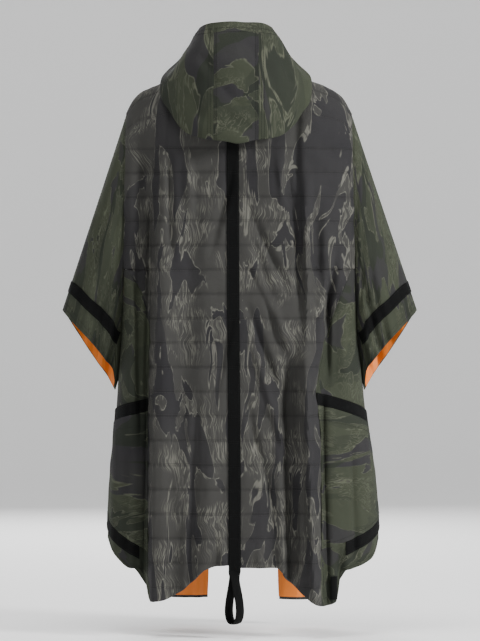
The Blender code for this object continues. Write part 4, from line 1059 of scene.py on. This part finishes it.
def webbing_finish():
    """Matt black webbing with close ribs across it and finer warps along it."""
    colours = bpy.context.scene.poncho_colours
    finish = Finish("webbing", roughness=0.85, specular=0.10)
    flat = finish.flat()
    parts = finish.node("ShaderNodeSeparateXYZ", {}, {0: flat})
    ribs = (parts.out(1) * (2 * math.pi / RIB_PITCH)).math("SINE")
    warps = (parts.out(0) * (2 * math.pi / WARP_PITCH)).math("SINE")
    worn = finish.noise(flat, 220.0, 3.0, 0.6).between(0.35, 0.75)
    colour = finish.mix(worn * 0.5, tuple(colours.webbing),
                        tuple(c * 1.8 + 0.001 for c in colours.webbing))
    normal = finish.bump(ribs * 0.8 + warps * 0.3, 0.7, 0.0004)
    return finish.done(colour, normal)


def lining_finish():
    """Smooth orange lining, a little creased."""
    colours = bpy.context.scene.poncho_colours
    finish = Finish("lining", roughness=0.55, specular=0.3)
    flat = finish.flat()
    shade = finish.noise(flat, 9.0, 2.0).between(0.3, 0.7)
    colour = finish.mix(shade * 0.5, tuple(colours.lining), tuple(c * 0.8 for c in colours.lining))
    creased = finish.noise(finish.scaled(flat, (1.0, 0.35, 1.0)), 38.0, 3.0, 0.6, 0.6)
    return finish.done(colour, finish.bump(creased, 0.5, 0.005))


def thread_finish(name, colour):
    """Stitching thread."""
    finish = Finish(name, roughness=0.75, specular=0.15)
    return finish.done(tuple(colour))


FINISHES = {}


def finish_of(name):
    """A finish, made the first time it is asked for."""
    if name not in FINISHES:
        colours = bpy.context.scene.poncho_colours
        if name in PRINTS:
            FINISHES[name] = striped_print(name)
        elif name == "webbing":
            FINISHES[name] = webbing_finish()
        elif name == "lining":
            FINISHES[name] = lining_finish()
        else:
            FINISHES[name] = thread_finish(name, getattr(colours, name))
    return FINISHES[name]


# ---- stitching -------------------------------------------------------------------------------
def stitch_tree():
    """Node tree that lays short thread stitches along seam lines."""
    name = "stitch_rows"
    if name in bpy.data.node_groups:
        return bpy.data.node_groups[name]
    tree = bpy.data.node_groups.new(name, "GeometryNodeTree")
    for label, kind in (("Seam lines", "NodeSocketGeometry"), ("Pitch", "NodeSocketFloat"),
                        ("Stitch length", "NodeSocketFloat"), ("Thread radius", "NodeSocketFloat"),
                        ("Seed", "NodeSocketInt"), ("Thread", "NodeSocketMaterial")):
        tree.interface.new_socket(name=label, in_out="INPUT", socket_type=kind)
    tree.interface.new_socket(name="Stitches", in_out="OUTPUT", socket_type="NodeSocketGeometry")
    add = tree.nodes.new
    given, result = add("NodeGroupInput"), add("NodeGroupOutput")
    curve, spaced = add("GeometryNodeMeshToCurve"), add("GeometryNodeCurveToPoints")
    spaced.mode = "LENGTH"
    thread, uneven = add("GeometryNodeMeshCylinder"), add("FunctionNodeRandomValue")
    thread.inputs["Vertices"].default_value = 4
    uneven.data_type = "FLOAT_VECTOR"
    uneven.inputs[0].default_value = (0.9, 0.9, 0.75)
    uneven.inputs[1].default_value = (1.15, 1.15, 1.1)
    laid, solid = add("GeometryNodeInstanceOnPoints"), add("GeometryNodeRealizeInstances")
    dressed = add("GeometryNodeSetMaterial")
    for source, out, target, into in (
            (given, "Seam lines", curve, 0), (curve, 0, spaced, 0),
            (given, "Pitch", spaced, "Length"), (given, "Stitch length", thread, "Depth"),
            (given, "Thread radius", thread, "Radius"), (given, "Seed", uneven, "Seed"),
            (spaced, "Points", laid, "Points"), (spaced, "Rotation", laid, "Rotation"),
            (thread, "Mesh", laid, "Instance"), (uneven, 0, laid, "Scale"),
            (laid, 0, solid, 0), (solid, 0, dressed, "Geometry"),
            (given, "Thread", dressed, "Material"), (dressed, 0, result, 0)):
        tree.links.new(source.outputs[out], target.inputs[into])
    return tree


def sew(name, lines, thread, seed):
    """Stitches along lines of points, as one plain mesh that rides on the poncho."""
    sizes = bpy.context.scene.poncho_sizes
    vertices, edges = [], []
    for line in lines:
        edges += [(len(vertices) + i, len(vertices) + i + 1) for i in range(len(line) - 1)]
        vertices += [tuple(map(float, point)) for point in line]
    mesh = bpy.data.meshes.new(name + "_lines")
    mesh.from_pydata(vertices, edges, [])
    guide = bpy.data.objects.new(name + "_lines", mesh)
    bpy.context.scene.collection.objects.link(guide)
    tree = stitch_tree()
    modifier = guide.modifiers.new("stitches", "NODES")
    modifier.node_group = tree
    values = {"Pitch": sizes.stitch_pitch, "Stitch length": sizes.stitch_length,
              "Thread radius": sizes.thread_radius, "Seed": seed, "Thread": finish_of(thread)}
    for item in tree.interface.items_tree:
        if item.in_out == "INPUT" and item.name in values:
            modifier[item.identifier] = values[item.name]
    graph = bpy.context.evaluated_depsgraph_get()
    made = bpy.data.meshes.new_from_object(guide.evaluated_get(graph), depsgraph=graph)
    bpy.data.objects.remove(guide)
    piece = bpy.data.objects.new(name, made)
    bpy.context.scene.collection.objects.link(piece)
    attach(piece, "root")


def quilting_lines(outer, heights, normals):
    """Double stitching lines across a quilted half, just above its cloth."""
    sizes = bpy.context.scene.poncho_sizes
    raised = outer + normals * sizes.thread_radius * THREAD_SHOWING
    lines = []
    levels = [i / YOKE_ROWS for i in range(1, YOKE_ROWS)] + [-CHANNEL * i for i in range(20)]
    for level in levels:
        for side in (-1, 1):
            h = level + side * sizes.twin_gap / 2 * (4 if level > 0 else 1)
            line = []
            for j in range(2, outer.shape[1] - 1):
                column = heights[::-1, j]
                if h < column[0] + QUILTING_END:
                    if len(line) > 3:
                        lines.append(line)
                    line = []
                    continue
                line.append(on_path(h, column, raised[::-1, j]))
            if len(line) > 3:
                lines.append(line)
    return lines


# ---- pieces ----------------------------------------------------------------------------------
def quilted_halves(face):
    """Both quilted halves of the back or the front, with their stitching."""
    columns = HALF_COLUMNS if face > 0 else FRONT_FINE_COLUMNS
    lines = []
    for hand in (1, -1):
        points, heights, uvs = half_grid(face, hand, columns)
        normals = grid_normals(points, face * hand)
        seed = 11 + 5 * face + hand
        outer = quilt(points, normals, heights, seed)
        if face > 0:
            near = 1 - step(flat_width(points), WEBBING_WIDTH * 0.45, WEBBING_WIDTH * 0.95)
            outer = outer + (points - outer) * near[..., None]
        name = f"quilted_{FACES[face]}_{HANDS[hand]}"
        piece = make_wall(name, outer, points - normals * QUILTED_WALL, finish_of("back"), uvs)
        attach(piece, "root")
        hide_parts(f"{FACES[face]}_{HANDS[hand]}")
        declare_sheet(points)
        lines += quilting_lines(outer, heights, normals)
        if face < 0:
            front_lining(hand, points, normals, heights, uvs)
    sew(f"quilting_{FACES[face]}", lines, "quilt_thread", 5 + face)


def front_lining(hand, points, normals, heights, uvs):
    """Orange lining inside a front's lower end, short of the turned hem."""
    top = int(np.argmin(np.abs(heights[:, 0] + CHANNEL * (LINING_FROM - YOKE_ROWS))))
    over = (points - normals * (QUILTED_WALL + SEAM_GAP))[top:]
    run = run_along(over[:, 0])
    kept = run < run[-1] - LINING_HEM
    add_cloth(f"lining_front_{HANDS[hand]}_cloth", over[kept], normals[top:][kept], LINING_WALL,
              "lining", uvs[top:][kept], [f"lining_front_{HANDS[hand]}"])


def between_rows(hand, kind, next_kind, count):
    """Rows of a side panel from where one part begins to where the next one does."""
    first, last = SIDE_ROWS[hand][SIDE_PARTS[kind]], SIDE_ROWS[hand][SIDE_PARTS[next_kind]]
    return [(first[0] + (last[0] - first[0]) * i / count,
             first[1] + (last[1] - first[1]) * i / count, 0.0) for i in range(count + 1)]


def side_panels():
    """Side panels with patch pockets, pocket-mouth webbing and hem webbing."""
    lines, webbing_lines = [], []
    for hand in (1, -1):
        for face in (1, -1):
            points, uvs = side_grid(face, hand, SIDE_FINE_COLUMNS[face])
            normals = grid_normals(points, face * hand)
            crease = ripple(points[..., 0] + points[..., 1] * 0.6, points[..., 2] * 0.5, 0.06,
                            51 + face + hand)
            inset = step(flat_width(points), 0.0, 0.02)
            outer = points + normals * (PANEL_CREASE * crease * inset)[..., None]
            node = f"side_{FACES[face]}_{HANDS[hand]}"
            add_cloth(f"{node}_cloth", outer, normals, PLAIN_WALL, "green", uvs,
                      [node], cut=points)
            raised = outer + normals * PANEL_STITCH_LIFT
            lines += [raised[2:-6, 2], raised[-6, 2:-2]]
        pocket_and_webbing(hand, lines, webbing_lines)
    corner_strip()
    sew("side_stitching", lines, "dark_thread", 21)
    sew("side_webbing_stitching", webbing_lines, "dark_thread", 22)


def pocket_and_webbing(hand, lines, webbing_lines):
    """One side's pocket and the two webbings that lie over it."""
    for part, start, end, rows, wall, finish, slot in (
            ("pocket", "pocket", "hem webbing", POCKET_ROWS, POCKET_WALL, "pocket",
             "pocket_print"),
            ("webbing_pocket", "pocket webbing", "pocket", BAND_ROWS, WEBBING_WALL, "webbing",
             "webbing"),
            ("webbing_hem", "hem webbing", "tail", BAND_ROWS, WEBBING_WALL, "webbing",
             "webbing")):
        begin = TAIL_START[hand] / SIDE_COLUMNS if part == "webbing_hem" else 0.0
        band = between_rows(hand, start, end, rows)
        points, uvs = side_grid(1, hand, POCKET_COLUMNS, band, (begin, 1.0))
        normals = grid_normals(points, hand)
        lift = wall + 2 * SEAM_GAP + PANEL_CREASE
        if part == "pocket":
            down = np.linspace(0, 1, len(points))[:, None]
            width = flat_width(points)
            full = POCKET_FULLNESS * np.sin(np.pi * width / width[:, -1:]) * (1 - down) ** 0.5
            crease = ripple(points[..., 0] + points[..., 1], points[..., 2], 0.05, 61 + hand)
            points = points + normals * (full + POCKET_CREASE * crease)[..., None]
            points[0] += (points[1] - points[0]) * 0.04
        else:
            uvs = band_pattern(points)
        name = f"{part}_{HANDS[hand]}"
        add_cloth(f"{name}_cloth", points, normals, wall, finish, uvs, [name],
                  lift)
        top = points + normals * (lift + STITCH_LIFT)
        if part == "pocket":
            lines += [top[4:-1, 2], top[6, 2:-2], top[-3, 2:-2]]
        else:
            webbing_lines += [top[1, 1:-1], top[-2, 1:-1]]


def sleeves():
    """Sleeves cut in one over the arm, their webbing bands and orange linings."""
    lines, webbing_lines = [], []
    for hand in (1, -1):
        side = HANDS[hand]
        points, uvs, _reach = sleeve_grid(hand)
        normals = grid_normals(points, hand)
        add_cloth(f"sleeve_{side}_cloth", points, normals, PLAIN_WALL, "green", uvs,
                  [f"sleeve_{side}"])
        lined, lining_uvs, _reach = sleeve_grid(
            hand, lambda reach: [
                SLEEVE_LINED + (1 - SLEEVE_LINING_HEM / reach - SLEEVE_LINED) * i / LINING_ROWS
                for i in range(LINING_ROWS + 1)])
        kept = slice(LINING_TRIM, -LINING_TRIM)
        inward = grid_normals(lined, hand)
        add_cloth(f"lining_sleeve_{side}_cloth", lined[:, kept], inward[:, kept], LINING_WALL,
                  "lining", lining_uvs[:, kept], [f"lining_sleeve_{side}"],
                  -PLAIN_WALL - SEAM_GAP)
        wide, low = SLEEVE_WEBBING
        band, _uvs, reach = sleeve_grid(
            hand, lambda reach: [1 - (wide + (low - wide) * i / BAND_ROWS) / reach
                                 for i in range(BAND_ROWS + 1)])
        on_cloth = np.flatnonzero(1 - wide / reach > BAND_FROM)
        band = band[:, on_cloth[0]:on_cloth[-1] + 1]
        out = grid_normals(band, hand)
        lift = WEBBING_WALL + SEAM_GAP
        add_cloth(f"webbing_sleeve_{side}_cloth", band, out, WEBBING_WALL, "webbing",
                  band_pattern(band), [f"webbing_sleeve_{side}"],
                  lift)
        top = band + out * (lift + STITCH_LIFT)
        webbing_lines += [top[1, 1:-1], top[-2, 1:-1]]
        raised = points + normals * STITCH_LIFT
        lines += [raised[-3, 3:-3], raised[-5, 3:-3], raised[3, 3:-3]]
    sew("sleeve_stitching", lines, "dark_thread", 31)
    sew("sleeve_webbing_stitching", webbing_lines, "dark_thread", 32)


def hood():
    """Hood of a centre strip and two sides, lying down on the back, with twin-sewn seams."""
    strip = [i / HOOD_STRIP_FINE for i in range(HOOD_STRIP_FINE + 1)]
    strip[-1] = 1 - HOOD_SEAM_SHARE / 2
    sides = [1 + i / HOOD_SIDE_FINE for i in range(HOOD_SIDE_FINE + 1)]
    sides[0] = 1 + HOOD_SEAM_SHARE / 6
    halves = {hand: hood_grid(hand, strip) for hand in (1, -1)}
    middle = np.concatenate([halves[1][0][:, ::-1], halves[-1][0][:, 1:]], axis=1)
    uvs = np.concatenate([halves[1][1][:, ::-1], halves[-1][1][:, 1:]], axis=1)
    lines = []
    for name, points, flat, sign in (
            ("hood_centre", middle, uvs, 1),
            ("hood_left", *hood_grid(1, sides), -1), ("hood_right", *hood_grid(-1, sides), 1)):
        normals = grid_normals(points, sign)
        outer = points + normals * hood_creases(points)[..., None]
        add_cloth(f"{name}_cloth", outer, normals, PLAIN_WALL, "hood", flat, [name],
                  cut=points)
        raised = outer + normals * STITCH_LIFT
        ends = (1, 2, -2, -3) if name == "hood_centre" else (1, 2)
        lines += [raised[3:-3, end] for end in ends]
        lines += [raised[-4, 2:-2], raised[-6, 2:-2]]
    sew("hood_stitching", lines, "dark_thread", 41)


def centre_webbing():
    """Webbing over the centre-back seam and the hanging loop below the hem."""
    half = WEBBING_WIDTH / 2
    offsets = np.linspace(0, half, 5)
    rows = []
    levels = [(h, fan) for h, fan in half_levels() if h < WEBBING_TOP]
    for h, fan in levels:
        row = {}
        for hand in (1, -1):
            shares = np.linspace(0, WEBBING_SHARE, 30)
            level = np.full(len(shares), h)
            if fan:
                level = h + (hem_height(1, hand, shares) - CHEST_Z - h) * fan
            path = cloth(1, hand, shares, level)
            row[hand] = on_path(offsets, run_along(path), path)
        rows.append(np.concatenate([row[1][::-1], row[-1][1:]]))
    for drop in WEBBING_ENDS:
        end = rows[-1].copy()
        end[:, 2] = np.minimum(end[:, 2] - WEBBING_END_STEP, rows[-1][:, 2].min() - drop)
        rows.append(end)
    points = np.array(rows)
    normals = grid_normals(points, 1)
    if normals[len(normals) // 2, 4, 1] < 0:
        normals = -normals
    lift = WEBBING_WALL + SEAM_GAP + 0.0006
    uvs = np.stack([np.linspace(-half, half, 9)[None, :] + 0 * points[..., 0],
                    -run_along(points[:, 4])[:, None] + 0 * points[..., 0]], -1)
    wave = 0.0003 * ripple(points[..., 0], points[..., 2], 0.05, 91)
    points = points + normals * wave[..., None]
    add_cloth("webbing_back_strip", points, normals, WEBBING_WALL, "webbing", uvs,
              ["webbing_back"], lift)
    top = points + normals * (lift + STITCH_LIFT)
    lines = [top[4:-2, 1], top[4:-2, -2]]
    for level in range(1, WEBBING_TACKS + 1):
        index = int(np.argmin([abs(h + CHANNEL * level) + 9 * fan for h, fan in levels]))
        lines += [top[index + k, 1:-1] for k in (0, 1)]
    sew("webbing_back_stitching", lines, "dark_thread", 51)
    hanging_loop(points[-1, 4] + normals[-1, 4] * (lift - WEBBING_WALL / 2),
                 min(point[2] for point in points[-1]) + LOOP_OVERLAP)


def corner_strip():
    """Short upright webbing end at the corner of the right tail."""
    near, far, top, low = CORNER_STRIP
    shares = np.linspace(SEAMS_FROM, 1.0, 500)
    across = np.linspace(near, far, CORNER_COLUMNS)
    points = []
    for z in np.linspace(top, low, CORNER_ROWS):
        path = cloth(1, -1, shares, np.full(len(shares), z - CHEST_Z))
        path = path[:int(np.argmax(-path[:, 0]))]       # as far as the back's widest point
        points.append(on_path(across, -path[:, 0], path))
    points = np.array(points)
    normals = grid_normals(points, -1)
    uvs = np.stack([points[..., 0], points[..., 2]], -1)
    add_cloth("corner_strip", points, normals, WEBBING_WALL, "webbing", uvs, [],
              WEBBING_WALL + CORNER_LIFT)


def hanging_loop(start, hem):
    """The webbing loop below the hem, turned so that its hole shows."""
    height = hem - LOOP_BOTTOM_Z
    swing = LOOP_HALF / LOOP_SWING_PEAK
    centres, widths = [], []
    for i in range(LOOP_STEPS + 1):
        u = i / LOOP_STEPS
        turn = LOOP_TURN * step(min(u, LOOP_END_TURN - u), 0.0, LOOP_TURN_SHARE)
        off = swing * math.sin(2 * math.pi * u) * math.sin(math.pi * u) ** 2
        off -= LOOP_PARTING * step(u, 0.5, 1.0)
        z = hem - height * (1 - math.cos(2 * math.pi * u)) / 2 - 2 * LOOP_PARTING * u
        centres.append([start[0] - math.sin(turn) * off, start[1] + math.cos(turn) * off, z])
        widths.append([math.cos(turn), math.sin(turn), 0.0])
    centres, widths = np.array(centres), np.array(widths) * WEBBING_WIDTH / 2
    across = np.linspace(1, -1, 7)
    points = centres[:, None] + widths[:, None] * across[None, :, None]
    normals = unit(np.cross(np.gradient(centres, axis=0), widths))
    if normals[0, 1] < 0:
        normals = -normals
    normals = np.repeat(normals[:, None], len(across), axis=1)
    points = points - normals * (LOOP_CREASE * across ** 2)[None, :, None]
    run = run_along(centres)
    uvs = np.stack([across[None, :] * WEBBING_WIDTH / 2 + 0 * points[..., 0],
                    -run[:, None] + 0 * points[..., 0]], -1)
    add_cloth("hanging_loop_strip", points, normals, WEBBING_WALL, "webbing", uvs,
              ["hanging_loop"], WEBBING_WALL / 2)


# ---- stage -----------------------------------------------------------------------------------
PIXEL = 0.00215               # metres a pixel of the photo covers on the back of the poncho
VIEW_DISTANCE = 8.0
VIEW_PLANE_Y = 0.07
PHOTO_SIZE = (480, 641)
VIEW_CENTRE = (-0.0022, -0.4999)
FLOOR_Z = -1.175
FLOOR_RINGS = ((2.0, 0.0), (6.0, 0.0), (9.0, 0.0), (10.5, 0.25), (11.7, 1.0), (12.5, 2.2),
               (12.9, 4.0), (13.0, 8.0))          # radius and rise above the middle
FLOOR_SIDES = 72
FLOOR_COLOUR = (0.88, 0.88, 0.88)
FLOOR_GLOW = 0.28
WORLD_LIGHT = 0.18
LIGHT_AIM = (0.0, 0.0, -0.5)
LIGHTS = {                    # place, size and power of each
    "key": ((-4.7, 2.9, 1.6), 1.3, 430.0),
    "fill": ((3.6, 3.9, 0.4), 2.6, 34.0),
    "top": ((0.4, 0.9, 3.2), 1.6, 95.0),
    "front": ((0.6, -4.2, 1.4), 2.4, 170.0),
}


def make_floor():
    """A plain pale floor that rises into a wall far away on every side."""
    vertices = [(0.0, 0.0, FLOOR_Z)]
    for radius, rise in FLOOR_RINGS:
        vertices += [(radius * math.cos(2 * math.pi * k / FLOOR_SIDES),
                      radius * math.sin(2 * math.pi * k / FLOOR_SIDES), FLOOR_Z + rise)
                     for k in range(FLOOR_SIDES)]
    faces = [(0, 1 + k, 1 + (k + 1) % FLOOR_SIDES) for k in range(FLOOR_SIDES)]
    for ring in range(len(FLOOR_RINGS) - 1):
        a, b = 1 + ring * FLOOR_SIDES, 1 + (ring + 1) * FLOOR_SIDES
        for k in range(FLOOR_SIDES):
            after = (k + 1) % FLOOR_SIDES
            faces.append((a + k, b + k, b + after, a + after))
    finish = Finish("pale_floor", roughness=0.9, specular=0.2)
    finish.shader.inputs["Emission Color"].default_value = (1.0, 1.0, 1.0, 1.0)
    finish.shader.inputs["Emission Strength"].default_value = FLOOR_GLOW
    floor = make_object("floor", vertices, faces, finish.done(FLOOR_COLOUR))


def make_light(name, place, size, power):
    """A soft square light aimed at the middle of the poncho."""
    data = bpy.data.lights.new(name, "AREA")
    data.shape, data.size, data.energy = "SQUARE", size, power
    light = bpy.data.objects.new(name, data)
    light.location = place
    direction = np.array(LIGHT_AIM) - np.array(place)
    flat = math.hypot(direction[0], direction[1])
    light.rotation_euler = (math.atan2(flat, -direction[2]), 0.0,
                            math.atan2(-direction[0], direction[1]))
    bpy.context.scene.collection.objects.link(light)


def make_camera():
    """Camera square on to the poncho's back, framed as the photo is."""
    data = bpy.data.cameras.new("camera")
    data.sensor_fit = "VERTICAL"
    tall = PHOTO_SIZE[1] * PIXEL
    data.angle = 2 * math.atan(tall / 2 / (VIEW_DISTANCE - VIEW_PLANE_Y))
    camera = bpy.data.objects.new("camera", data)
    camera.location = (VIEW_CENTRE[0], VIEW_DISTANCE, VIEW_CENTRE[1])
    camera.rotation_euler = (math.pi / 2, 0.0, math.pi)
    bpy.context.scene.collection.objects.link(camera)
    bpy.context.scene.camera = camera


# ---- settings, operators and panel -----------------------------------------------------------
class PonchoSizes(bpy.types.PropertyGroup):
    """Sizes of the sewing."""

    stitch_pitch: bpy.props.FloatProperty(
        name="Stitch pitch", description="From one stitch to the next", default=0.0036,
        min=0.001, unit="LENGTH")
    stitch_length: bpy.props.FloatProperty(
        name="Stitch length", description="Thread that shows in one stitch", default=0.0026,
        min=0.0005, unit="LENGTH")
    thread_radius: bpy.props.FloatProperty(
        name="Thread radius", description="Half the thread's thickness", default=0.00035,
        min=0.0001, unit="LENGTH")
    twin_gap: bpy.props.FloatProperty(
        name="Twin needle gap", description="Between the two rows of one quilting line",
        default=0.0052, min=0.001, unit="LENGTH")


def colour_property(label, about, value):
    """A colour setting."""
    return bpy.props.FloatVectorProperty(name=label, description=about, default=value,
                                         subtype="COLOR", size=3, min=0.0, max=1.0)


class PonchoColours(bpy.types.PropertyGroup):
    """Colours of the prints, webbing, lining and threads."""

    grey_ground: colour_property("Grey ground", "Dark stripes of the back",
                                 (0.0190, 0.0185, 0.0200))
    grey_blob: colour_property("Grey stripe", "Pale stripes of the back",
                               (0.0340, 0.0335, 0.0312))
    pale_thread: colour_property("Pale hatch", "Hatching of the back", (0.112, 0.110, 0.094))
    plum_ground: colour_property("Plum ground", "Dark ground of the green cloth",
                                 (0.0200, 0.0190, 0.0210))
    green_blob: colour_property("Green stripe", "Stripes of the green cloth",
                                (0.0300, 0.0345, 0.0225))
    green_dark: colour_property("Dark green", "Second stripes of the green cloth",
                                (0.0145, 0.0170, 0.0130))
    green_thread: colour_property("Green hatch", "Hatching of the green cloth",
                                  (0.078, 0.082, 0.058))
    webbing: colour_property("Webbing", "Black webbing", (0.0022, 0.0024, 0.0024))
    lining: colour_property("Lining", "Orange lining", (0.720, 0.185, 0.018))
    dark_thread: colour_property("Dark thread", "Thread of seams and webbing",
                                 (0.0060, 0.0060, 0.0058))
    quilt_thread: colour_property("Quilting thread", "Thread of the quilting",
                                  (0.034, 0.033, 0.032))


class PONCHO_OT_back(bpy.types.Operator):
    """Make the quilted back halves with their stitching"""

    bl_idname = "poncho.back"
    bl_label = "Back"

    def execute(self, context):
        quilted_halves(1)
        return {"FINISHED"}


class PONCHO_OT_front(bpy.types.Operator):
    """Make the quilted front halves with their stitching and lining"""

    bl_idname = "poncho.front"
    bl_label = "Front"

    def execute(self, context):
        quilted_halves(-1)
        return {"FINISHED"}


class PONCHO_OT_sides(bpy.types.Operator):
    """Make the side panels, pockets and their webbing"""

    bl_idname = "poncho.sides"
    bl_label = "Side panels and pockets"

    def execute(self, context):
        side_panels()
        return {"FINISHED"}


class PONCHO_OT_sleeves(bpy.types.Operator):
    """Make the sleeves with their webbing and lining"""

    bl_idname = "poncho.sleeves"
    bl_label = "Sleeves"

    def execute(self, context):
        sleeves()
        return {"FINISHED"}


class PONCHO_OT_hood(bpy.types.Operator):
    """Make the hood lying down on the back"""

    bl_idname = "poncho.hood"
    bl_label = "Hood"

    def execute(self, context):
        hood()
        return {"FINISHED"}


class PONCHO_OT_webbing(bpy.types.Operator):
    """Make the centre-back webbing and its hanging loop"""

    bl_idname = "poncho.webbing"
    bl_label = "Centre webbing and loop"

    def execute(self, context):
        centre_webbing()
        return {"FINISHED"}


class PONCHO_OT_stage(bpy.types.Operator):
    """Make the floor, the soft lights and the camera"""

    bl_idname = "poncho.stage"
    bl_label = "Stage"

    def execute(self, context):
        make_floor()
        for name, light in LIGHTS.items():
            make_light(name, *light)
        world = bpy.data.worlds.new("studio")
        world.use_nodes = True
        backdrop = world.node_tree.nodes["Background"]
        backdrop.inputs["Color"].default_value = (1.0, 1.0, 1.0, 1.0)
        backdrop.inputs["Strength"].default_value = WORLD_LIGHT
        context.scene.world = world
        make_camera()
        return {"FINISHED"}


class PONCHO_PT_panel(bpy.types.Panel):
    """Buttons for the poncho's pieces, and their settings"""

    bl_idname = "PONCHO_PT_panel"
    bl_label = "Quilted Poncho"
    bl_space_type = "VIEW_3D"
    bl_region_type = "UI"
    bl_category = "Poncho"

    def draw(self, context):
        layout = self.layout
        for settings in (context.scene.poncho_sizes, context.scene.poncho_colours):
            for key in settings.__annotations__:
                layout.prop(settings, key)
        for operator in OPERATORS:
            layout.operator(operator.bl_idname)


OPERATORS = (PONCHO_OT_back, PONCHO_OT_front, PONCHO_OT_sides, PONCHO_OT_sleeves, PONCHO_OT_hood,
             PONCHO_OT_webbing, PONCHO_OT_stage)
CLASSES = (PonchoSizes, PonchoColours, *OPERATORS, PONCHO_PT_panel)


def register():
    """Register the classes and hang the settings on the scene."""
    for item in CLASSES:
        bpy.utils.register_class(item)
    bpy.types.Scene.poncho_sizes = bpy.props.PointerProperty(type=PonchoSizes)
    bpy.types.Scene.poncho_colours = bpy.props.PointerProperty(type=PonchoColours)


def unregister():
    """Take the settings and classes away again."""
    del bpy.types.Scene.poncho_colours
    del bpy.types.Scene.poncho_sizes
    for item in reversed(CLASSES):
        bpy.utils.unregister_class(item)


def main():
    """Make every piece and the stage."""
    register()
    for make in (bpy.ops.poncho.back, bpy.ops.poncho.front, bpy.ops.poncho.sides,
                 bpy.ops.poncho.sleeves, bpy.ops.poncho.hood, bpy.ops.poncho.webbing,
                 bpy.ops.poncho.stage):
        make()


if __name__ == "__main__":
    main()
